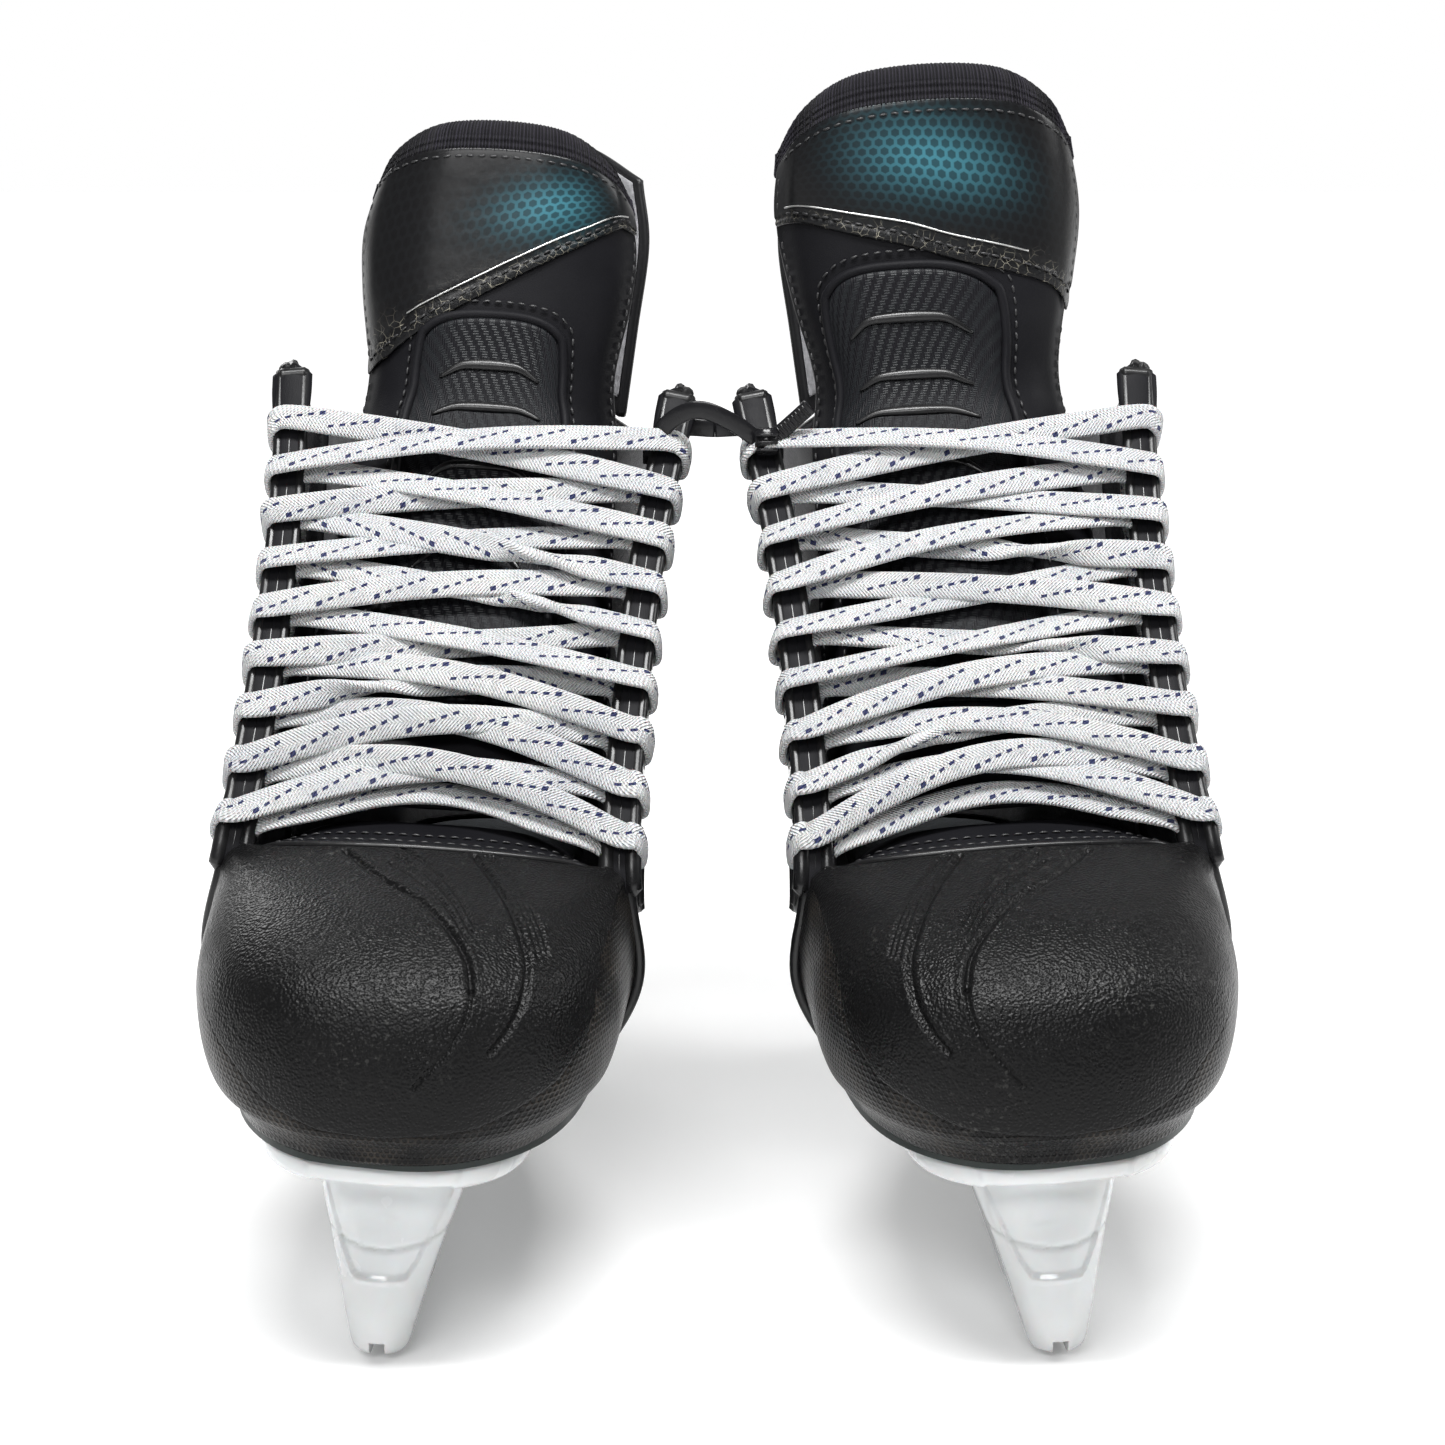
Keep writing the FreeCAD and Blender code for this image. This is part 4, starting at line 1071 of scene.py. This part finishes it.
def crossing(start, end, lift, ground, bow):
    """Points across the tongue between two places, held clear of it."""
    points = []
    for s in (0.16, 0.34, 0.5, 0.66, 0.84):
        p = start * (1 - s) + end * s + LACE_UP * bow * math.sin(math.pi * s)
        near = ground[(np.abs(ground[:, 0] - p[0]) < 3) & (np.abs((ground - p) @ LACE_UP) < 5)]
        height = (near @ LACE_OUT).max() if len(near) else -1e9
        rise = max(height + 1.3 - p @ LACE_OUT, 0) + lift * math.sin(math.pi * s)
        points.append((p + LACE_OUT * rise, LACE_OUT, 1.0))
    return points


def tape(name, stops, side, twist=0.0, roll=0.0):
    """Flat woven lace along a list of (point, normal, width share)."""
    count = 150
    t = np.linspace(0, 1, count)
    path, normal, share = (curve(values, t) for values in zip(*stops))
    tangent = unit(np.gradient(path, axis=0))
    normal = square_to(normal, tangent)
    across = np.cross(tangent, normal)
    wave = RNG.uniform(0, 6.28, 3)
    middle = np.sin(math.pi * t) ** 0.5
    angle = roll * middle + 0.16 * np.sin(7 * t + wave[0]) * middle
    angle = angle + twist * math.pi * smooth_step(t, 0.40, 0.58)
    pinch = 1.0 - 0.45 * abs(twist) * hump(t, 0.49, 0.05) + 0.05 * np.sin(11 * t + wave[1])
    wide = 0.5 * LACE_WIDTH * share * pinch
    deep = 0.5 * LACE_THICK / np.clip(share * pinch, 0.55, 1.0) * (1 + 0.06 * np.sin(17 * t + wave[2]))
    turned = normal * np.cos(angle)[:, None] + across * np.sin(angle)[:, None]
    across = across * np.cos(angle)[:, None] - normal * np.sin(angle)[:, None]
    sides = 16
    theta = (np.arange(sides) + 0.5) * 2 * math.pi / sides
    shape_w = np.sign(np.cos(theta)) * np.abs(np.cos(theta)) ** 0.6
    shape_d = np.sign(np.sin(theta)) * np.abs(np.sin(theta)) ** 0.7
    ring = (across[:, None] * (wide[:, None] * shape_w)[..., None]
            + turned[:, None] * (deep[:, None] * shape_d)[..., None])
    grid = path[:, None] + ring
    length = lengths(path)
    slant = -1 if side == "right" else 1
    uv = np.stack([np.repeat((length + wave[0] * 20)[:, None], sides, 1),
                   np.repeat((shape_w * 0.5 * slant * LACE_WIDTH)[None], count, 0)], -1).reshape(-1, 2)
    return make_object(name, placed(grid.reshape(-1, 3), side), ring_faces(count, sides), MAT["lace"], uv)


def laces(side):
    u, v = patch_grid((0.0, 1.0), 0.0, 0.9, 80, 160)
    flap_u, flap_v = patch_grid((0.0, 1.0), 0.0, 1.0, 60, 60)
    ground = np.vstack([tongues[side].base(u, v).reshape(-1, 3), vamp.at(flap_u, flap_v, 0.8).reshape(-1, 3)])
    strands = []
    top = LACED_ROWS - 1
    first, last = tuck(Edge(1, 0)), tuck(Edge(-1, 0))
    span = crossing(first[0][0] - LACE_UP * 2, last[0][0] - LACE_UP * 2, 0.2, ground, 12.5)
    strands.append((first[::-1] + span + last, 0, 0.2))
    for row in range(top - 1):
        for sign in (1, -1):
            front = wrap(Edge(sign, row))
            back = tuck(Edge(-sign, row + 1))
            lift = 3.6 if (sign > 0) == (row % 3 != 1) else 1.0
            bow = max(9.0 - 3.0 * row, 0) + RNG.uniform(-1.5, 2.0)
            span = crossing(front[-1][0], back[0][0], lift, ground, bow)
            flips = 1 if (row, sign) in LACE_TWISTS[side] else 0
            strands.append((front + span + back, flips, RNG.uniform(-0.25, 0.35)))
    for sign, lift in ((1, 1.2), (-1, 4.2)):
        first = wrap(Edge(sign, top - 1))
        last = wrap(Edge(-sign, top))[::-1]
        span = crossing(first[-1][0], last[0][0], lift, ground, 1.0)
        strands.append((first + span + last, 0, RNG.uniform(-0.2, 0.3)))
    pieces = [tape("strand", stops, side, twist, roll) for stops, twist, roll in strands]
    keep(join(side + "_lace_tape", pieces), side, "skate", "lace_cotton", side + "_lace")


# ---------------------------------------------------------------- tongue
def arch(u, low, high, middle, top):
    """Height of a rounded patch's upper edge over u."""
    t = np.clip(np.abs((u - (low + high) / 2) / ((high - low) / 2)), 0, 1)
    return middle + (top - middle) * (1 - t ** 2.6) ** (1 / 2.6)


def arch_outline(side, wide, rise):
    """Line round the patch from foot to foot, outside it by a share of u and of v."""
    low, high, foot, middle, crest = PATCH[side]
    low, high, crest = low - wide, high + wide, crest + rise
    line = [(low, t) for t in np.linspace(foot, middle, 10)]
    line += [(x, arch(x, low, high, middle, crest)) for x in np.linspace(low, high, 22)[1:-1]]
    return line + [(high, t) for t in np.linspace(middle, foot, 10)]


def tongue(side):
    skin = tongues[side]
    edge = PANEL_EDGE[side]
    u, v = patch_grid((0.0, 1.0), 0.0, 0.975, 110, 230)
    ripple = 0.5 * np.sin(9 * v + 3 * u) * np.sin(7 * u) + 0.25 * np.sin(25 * v + 9 * u)
    leather = slab(side + "_tongue_leather", skin.at(u, v, ripple * 0.6), skin.at(u, v, -2.6 + 0 * u),
                   MAT["leather"], side)
    keep(leather, side, "tongue", "matte_leather", side + "_tongue", side + "_tongue_top")

    u, v = patch_grid((0.015, 0.985), 0.02, 0.985, 70, 150)
    puff = 2.6 * np.sin(math.pi * u) ** 0.5 + 0.5 * np.sin(60 * v) * np.sin(math.pi * u)
    felt = sheet(side, "tongue_pad", "tongue", "felt", "tongue_felt", skin, u, v, -2.7, -5.0 - puff, "felt")

    u, v = patch_grid((0.02, 0.98), lambda x: np.interp(x, *edge), 0.972, 150, 70)
    depth = (v - np.interp(u, *edge)) / (0.972 - np.interp(u, *edge))
    crown = 1.0 + 0.5 * np.sin(math.pi * np.clip(depth, 0, 1)) ** 0.5
    crown = crown - 0.35 * hump(depth, 0.09, 0.03)
    # painted reflection: a soft spot on the film painted teal as reflected light
    reflection_u, reflection_v, reflection_wide, reflection_high = PAINTED_REFLECTION[side]
    painted_reflection = np.exp(-((u - reflection_u - 0.9 * (v - reflection_v)) / reflection_wide) ** 2 - ((v - reflection_v) / reflection_high) ** 2)
    crack = hump(depth, 0.03, 0.09) + 0.35 * hump(u, 0.04, 0.07)
    sheet(side, "tongue_film", "tongue", "panel_gloss", "tongue_panel", skin, u, v, crown, 0.3, "panel",
          {"painted_reflection": painted_reflection, "crack": np.clip(crack, 0, 1)})
    inset_low = [(x, np.interp(x, *edge) + 0.016) for x in np.linspace(0.05, 0.95, 12)]
    inset_top = [(x, 0.958) for x in np.linspace(0.06, 0.94, 12)]
    sides = [[(x, t) for t in np.linspace(np.interp(x, *edge) + 0.02, 0.955, 6)] for x in (0.05, 0.95)]
    for index, line in enumerate([inset_low, inset_top] + sides):
        sew(side, "panel_stitch_%d" % (index + 1), "tongue", "panel_gloss", skin, line, 1.25)
    line = [(x, np.interp(x, *edge) + 0.036 - 0.016 * (x - 0.3)) for x in np.linspace(0.3, 0.9, 8)]
    bar_on(side, "panel_line", "tongue", "steel", skin, line, 1.45, 0.28, "steel", sides=6)

    for index, at in enumerate((0.035, 0.965)):
        line = [(at, t) for t in np.linspace(0.12, np.interp(at, *edge) - 0.01, 12)]
        sew(side, "tongue_stitch_%d" % (index + 1), "tongue", "matte_leather", skin, line, 0.35)

    patch(side)

    u, v = patch_grid((0.0, 1.0), 0.962, 1.0, 240, 14)
    ribs = 0.25 * np.sin(np.cumsum(np.full(u.shape, 0.42), axis=0) * 6.3)
    behind = -1.2 - 7.0 * np.sin(math.pi * u) ** 0.4
    sheet(side, "tongue_knit", "tongue_top", "knit", "tongue_binding", skin, u, v, 0.9 + ribs, behind, "knit",
          rim=9)


def patch(side):
    """Arched rubber patch: twill field, raised chevrons, piping and a stitched border."""
    skin = tongues[side]
    low, high, foot, middle, crest = PATCH[side]
    u, v = patch_grid((low, high), foot, lambda x: arch(x, low, high, middle, crest), 90, 150)
    centre = (low + high) / 2
    half = (high - low) / 2
    t = np.abs((u - centre) / half)
    crown = 1.2 + 1.3 * (1 - t ** 3) * smooth_step(v, foot, foot + 0.05)
    sheet(side, "patch_field", "tongue", "patch_rubber", "tongue_patch", skin, u, v, crown, -0.3, "patch")
    for index, place in enumerate(CHEVRONS[side]):
        line = [(centre + half * x, place + y) for x, y in CHEVRON]
        path, normals = on_skin(skin, line, 2.5, 0.7)
        size = 1.7 * np.sin(np.linspace(0.2, math.pi - 0.2, len(path))) ** 0.8
        bar(side, "patch_bar_%d" % (index + 1), "tongue", "patch_rubber", path, size, "rand", 8,
            (normals, 0.6))
    border = arch_outline(side, 0.012, 0.012)
    bar_on(side, "patch_piping", "tongue", "patch_rubber", skin, border, 1.2, 1.35, "leather")
    sew(side, "patch_stitch", "tongue", "patch_rubber", skin, arch_outline(side, 0.045, 0.034), 0.35)


# ---------------------------------------------------------------- lining, collar and tendon guard
def linings(side):
    for sign, part in PARTS:
        ends = sorted((edge_u(sign, 1.7 * FACING_U), 0.5))
        u, v = patch_grid(ends, 0.03, 0.985, 90, 110)
        reach = np.where(u < 0.5, u, 1 - u)
        pad = smooth_step(v, 0.62, 0.72) * smooth_step(reach, 0.15, 0.2)
        depth = 1.6 + 2.2 * pad * (0.75 + 0.25 * np.sin(math.pi * (reach - 0.15) / 0.35))
        lining = sheet(side, "lining_" + part, "skate", "lining", "liner_" + part, boot, u, v, -3.1,
                       -3.15 - depth, "lining", rim=6)
    line = [(x, 1.0) for x in np.linspace(FACING_U, 1 - FACING_U, 40)]
    bar_on(side, "collar_binding", "skate", "boot_shell", boot, line, -1.0, 2.0, "rand")


def tendon_guard(side):
    u, v = patch_grid((0.0, 1.0), 0.0, 1.0, 140, 110)
    edge = np.minimum(np.minimum(u, 1 - u) * 2.2, 1 - v)
    lift = 0.9 * smooth_step(edge, 0.03, 0.06) - 0.5 * hump(edge, 0.1, 0.012)
    for place in (0.30, 0.42, 0.54):
        lift = lift - 0.55 * hump(v, place, 0.014) * smooth_step(edge, 0.12, 0.16)
    sheet(side, "tendon_shell", "tendon_guard", "guard_plastic", "tendon_guard", guard, u, v, lift,
          -GUARD_THICK, "guard")
    u, v = patch_grid((0.02, 0.98), 0.06, 0.98, 80, 70)
    puff = 1.4 * (np.sin(math.pi * (u - 0.02) / 0.96) * np.sin(math.pi * (v - 0.06) / 0.92)) ** 0.4
    pad = sheet(side, "tendon_pad", "tendon_guard", "lining", None, guard, u, v, -2.45, -2.9 - puff,
                "pale_lining")


# ---------------------------------------------------------------- holder
def stadium(y_front, y_back, width, z, count=48):
    """Closed outline with round ends, long in y; points run round it evenly by angle."""
    radius = width / 2
    half = (y_back - y_front) / 2 - radius
    middle = (y_front + y_back) / 2
    points = []
    for k in range(count):
        a = 2 * math.pi * (k + 0.5) / count
        shift = half if math.sin(a) > 0 else -half
        points.append((radius * math.cos(a), middle + shift + radius * math.sin(a), z))
    return np.array(points)


def loft(sections, steps):
    """Closed solid through outlines, smooth between them."""
    outlines = np.array([stadium(*s) for s in sections])
    rings = curve(outlines, np.linspace(0, 1, steps))
    return rings.reshape(-1, 3), ring_faces(steps, rings.shape[1])


def flange(plan):
    """Rounded plate under the sole, following its rise; plan is half an outline from front to back."""
    thick = FLANGE_THICK
    half = curve(plan, np.linspace(0, 1, 40))
    outline = np.vstack([half, (half * [-1, 1])[::-1]])
    centre = outline.mean(axis=0)
    loop = np.vstack([outline, outline[:1]])
    even = resample(np.column_stack([loop, np.zeros(len(loop))]), 2.0)[:-1, :2]
    rings = []
    profile = [(1.6, 0.0), (0.5, 0.35), (0.0, 1.4), (0.0, thick - 2.2), (0.7, thick - 0.8), (2.4, thick)]
    for inset, drop in profile:
        scaled = even - unit(even - centre) * inset
        rings.append(np.column_stack([scaled, sole_height(scaled[:, 1]) - drop]))
    return np.vstack(rings), ring_faces(len(rings), len(even))


def cutters(side):
    """Cutting tools for the runner slot, the notch at its front and the trigger's recess."""
    corners, faces = cube()
    return [make_object("cutter", placed(corners * size + place, side), faces, MAT["holder"], smooth=False)
            for size, place in HOLDER_CUTS]


def modify(obj, kind, **settings):
    modifier = obj.modifiers.new("step", kind)
    for key, value in settings.items():
        setattr(modifier, key, value)
    bpy.context.view_layer.objects.active = obj
    bpy.ops.object.modifier_apply(modifier=modifier.name)


def holder_relief(local):
    """Height of the raised edges on the moulding in millimetres, and the share of its parting line."""
    x, y, z = local.T
    front = smooth_step(60 - y, -6, 6)
    parting = hump(z, 27.0 + 0.012 * x ** 2, 0.45) * front
    ridge = 20.0 + 1.1 * np.maximum(np.abs(x) - 5.5, 0) ** 1.3
    edge = hump(z, ridge, 0.6) * smooth_step(z, 9, 16) * smooth_step(34 - z, 0, 4)
    swoosh = 30 - 0.14 * np.abs(y - 66)
    side_on = smooth_step(np.abs(x), 4.0, 7.0) * (1 - front)
    lift = 0.7 * edge * front - 0.3 * parting
    lift += 0.5 * smooth_step(ridge - z, -0.2, 0.5) * front * smooth_step(z, 4, 12)
    lift += 0.5 * smooth_step(z - swoosh, -0.5, 0.5) * side_on * smooth_step(40 - z, 0, 2)
    return lift, parting


def vertex_vectors(source, key):
    flat = np.zeros(len(source) * 3)
    source.foreach_get(key, flat)
    return flat.reshape(-1, 3)


def holder(side):
    """Blade holder: two towers, a bridge rail and two flanges blended into one moulding, then cut."""
    solids = [loft(FRONT_TOWER, 40), loft(REAR_TOWER, 44), loft(RAIL, 12),
              flange(FRONT_FLANGE_PLAN), flange(REAR_FLANGE_PLAN)]
    parts = [make_object("solid", placed(points, side), faces, MAT["holder"]) for points, faces in solids]
    body = join(side + "_holder_moulding", parts)
    modify(body, "REMESH", mode="VOXEL", voxel_size=HOLDER_VOXEL, use_smooth_shade=True)
    modify(body, "SMOOTH", factor=0.5, iterations=7)
    mesh = body.data
    world = vertex_vectors(mesh.vertices, "co")
    normal = vertex_vectors(mesh.vertex_normals, "vector")
    lift, parting = holder_relief(unplaced(world, side))
    seam = mesh.attributes.new("seam", "FLOAT", "POINT")
    seam.data.foreach_set("value", parting.astype(np.float32))
    mesh.vertices.foreach_set("co", (world + normal * (lift * MM)[:, None]).ravel())
    for tool in cutters(side):
        modify(body, "BOOLEAN", operation="DIFFERENCE", solver="EXACT", object=tool)
        bpy.data.objects.remove(tool)
    keep(body, side, "skate", "white_plastic", side + "_holder")


# ---------------------------------------------------------------- cable tie
def band(name, path, up, material, width, thick):
    """Flat strap along a row-frame path in millimetres; up is the direction of its width."""
    tangent = unit(np.gradient(path, axis=0))
    wide = square_to(up, tangent)
    out = np.cross(tangent, wide)
    shape = [(-0.5, -0.35), (-0.42, -0.5), (0.42, -0.5), (0.5, -0.35), (0.5, 0.35), (0.42, 0.5), (-0.42, 0.5),
             (-0.5, 0.35)]
    points = np.concatenate([path[:, None] + wide[:, None] * a * width + out[:, None] * b * thick
                             for a, b in shape], axis=1)
    return make_object(name, points.reshape(-1, 3) * MM, ring_faces(len(path), len(shape)), material)


def toothed_tail(start):
    """Free end of the strap, with a row of teeth across it."""
    run = np.array([11.0, -1.0, 10.0])
    across = np.array([-0.67, 0.0, 0.74])
    along = np.array([0.74, 0.0, 0.67])
    path = start + np.linspace(0, 1, 24)[:, None] * run
    pieces = [band("tail", path, np.tile(across, (24, 1)), MAT["tie"], TIE_WIDTH * 0.9, TIE_THICK)]
    for k in range(10):
        tooth = start + run * (0.12 + 0.085 * k) + [0, -0.9, 0]
        ends = tooth + np.linspace(-1, 1, 4)[:, None] * across * 1.7
        pieces.append(band("tooth", ends, np.tile(along, (4, 1)), MAT["tie"], 0.6, 0.6))
    return pieces


def ribbed_head(start):
    """Rounded block that locks the strap, with three ribs on its front."""
    corners, faces = cube(0.1)
    corners = corners * [6.4, 5.0, 7.0] + start + [-0.5, 0.6, 0.4]
    pieces = [make_object("block", corners * MM, faces, MAT["tie"])]
    for k in range(3):
        line = start + [-3.4, -2.2, 2.4 - 2.0 * k] + np.linspace(0, 1, 4)[:, None] * np.array([5.8, 0, 0])
        pieces.append(band("rib", line, np.tile([0.0, 0.0, 1.0], (4, 1)), MAT["tie"], 0.8, 0.9))
    return pieces


def cable_tie():
    """Strap through both top inner eyelets, closed in front of the facings by a ribbed head."""
    eyelet = placed(Edge(1, EYELET_COUNT - 1).eyelet, "right") / MM
    half, back, level = -eyelet[0], eyelet[1], eyelet[2]
    loop = [(0, 0, 0), (half, 0, 0), (half + 6.5, -5, -3), (half + 8, -12, -5), (half + 3, -19, -2),
            (half * 0.4, -22, 4), (-half * 0.5, -22, 7), (-half - 3, -19, 3), (-half - 9, -12, -6),
            (-half - 7, -5, -4), (-half, 0, 0), (0, 0, 0)]
    path = curve(np.array(loop, float), np.linspace(0, 1, 160)) + [0, back, level]
    up = np.tile([0.0, 0.0, 1.0], (len(path), 1))
    start = np.array([half + 4.5, back - 21.0, level - 2.0])
    strap = [band("strap", path, up, MAT["tie"], TIE_WIDTH, TIE_THICK)] + toothed_tail(start)
    keep(join("cable_tie_band", strap), "right", "skate", "tie_nylon", "cable_tie_strap")
    keep(join("cable_tie_lock", ribbed_head(start)), "right", "skate", "tie_nylon", "cable_tie_head")


# ---------------------------------------------------------------- the rest of the CAD nodes
def repaint(node, material):
    obj = frame["nodes"][node]
    obj.data.materials.clear()
    obj.data.materials.append(material)


for side in SIDES:
    for node, material in PAINT.items():
        repaint(side + "_" + node, MAT[material])
    for sign, part in PARTS:
        facing(side, sign, part)
    for build in (toe_cap, vamp_flap, quarters, laces, tongue, linings, tendon_guard, holder):
        build(side)
cable_tie()


# ---------------------------------------------------------------- camera, floor and light
CAMERA_LENS = 73.4
CAMERA_PLACE = (-0.0044, -0.7816, 0.280)
CAMERA_PITCH = math.radians(11.0)
CAMERA_TURN = -0.008
FLOOR_HALF = 40.0
# name, place, target, size in metres and power in watts
LIGHTS = [("overhead", (0.0, -0.30, 1.1), (0, -0.08, 0.1), (0.8, 0.22), 20.0),
          ("front", (-0.4, -1.9, 1.6), (0, 0, 0.12), (1.2, 0.6), 26.0),
          ("side", (1.6, 0.2, 1.0), (0, 0, 0.12), (0.6, 0.6), 10.0),
          ("back", (-1.0, 1.6, 1.2), (0, 0, 0.12), (1.0, 0.8), 12.0)]


def camera():
    data = bpy.data.cameras.new("camera")
    data.sensor_width = 36.0
    data.lens = CAMERA_LENS
    data.clip_start = 0.05
    data.clip_end = 20.0
    obj = bpy.data.objects.new("camera", data)
    obj.location = CAMERA_PLACE
    obj.rotation_euler = (math.pi / 2 - CAMERA_PITCH, 0.0, CAMERA_TURN)
    bpy.context.scene.collection.objects.link(obj)
    bpy.context.scene.camera = obj


def area_light(name, place, target, size, power):
    data = bpy.data.lights.new(name, "AREA")
    data.shape = "RECTANGLE"
    data.size, data.size_y = size
    data.energy = power
    obj = bpy.data.objects.new(name, data)
    obj.location = place
    away = np.array(place, float) - np.array(target, float)
    obj.rotation_euler = (math.atan2(math.hypot(away[0], away[1]), away[2]), 0.0,
                          math.atan2(away[1], away[0]) + math.pi / 2)
    bpy.context.scene.collection.objects.link(obj)


def floor():
    """Pale floor that glows softly far from the pair, so that it meets the pale background."""
    m = Nodes("floor", (0.8, 0.8, 0.8), 0.8, Specular_IOR_Level=0.1)
    m.set("Base Color", m.mix(m.noise(3.0), (0.79, 0.79, 0.79), (0.81, 0.81, 0.81)))
    m.set("Emission Color", (1.0, 1.0, 1.0, 1.0))
    away = m.node("VectorMath", {0: m.place(), 1: (0.0, -0.9, 0.0)}, operation="DISTANCE")
    m.set("Emission Strength", m.ramp(away.outputs["Value"], 0.5, 2.2, 0.02, 0.9))
    points = [(x * FLOOR_HALF, y * FLOOR_HALF, 0) for x, y in ((-1, -1), (1, -1), (1, 1), (-1, 1))]
    obj = make_object("floor", np.array(points, float), [(0, 1, 2, 3)], m.material)
    obj.location.z = -0.0006


def pale_ramp(tree, value, dim_at, bright_at):
    remap = tree.nodes.new("ShaderNodeMapRange")
    for key, number in {"From Min": dim_at, "From Max": bright_at, "To Min": 0.07, "To Max": 1.0}.items():
        remap.inputs[key].default_value = number
    tree.links.new(value, remap.inputs["Value"])
    return remap.outputs[0]


def world():
    """Dim studio with a pale backdrop behind the heels and a thin pale horizon."""
    made = bpy.data.worlds.new("studio")
    made.use_nodes = True
    tree = made.node_tree
    place = tree.nodes.new("ShaderNodeTexCoord")
    split = tree.nodes.new("ShaderNodeSeparateXYZ")
    behind = pale_ramp(tree, split.outputs[1], 0.5, 0.97)
    horizon = pale_ramp(tree, split.outputs[2], 0.14, 0.03)
    either = tree.nodes.new("ShaderNodeMath")
    either.operation = "MAXIMUM"
    tree.links.new(behind, either.inputs[0])
    tree.links.new(horizon, either.inputs[1])
    background = tree.nodes["Background"]
    tree.links.new(place.outputs["Generated"], split.inputs[0])
    tree.links.new(either.outputs[0], background.inputs["Strength"])
    background.inputs["Color"].default_value = (1.0, 1.0, 1.0, 1.0)
    bpy.context.scene.world = made


camera()
floor()
world()
for light in LIGHTS:
    area_light(*light)
bpy.context.scene.view_settings.view_transform = "Standard"
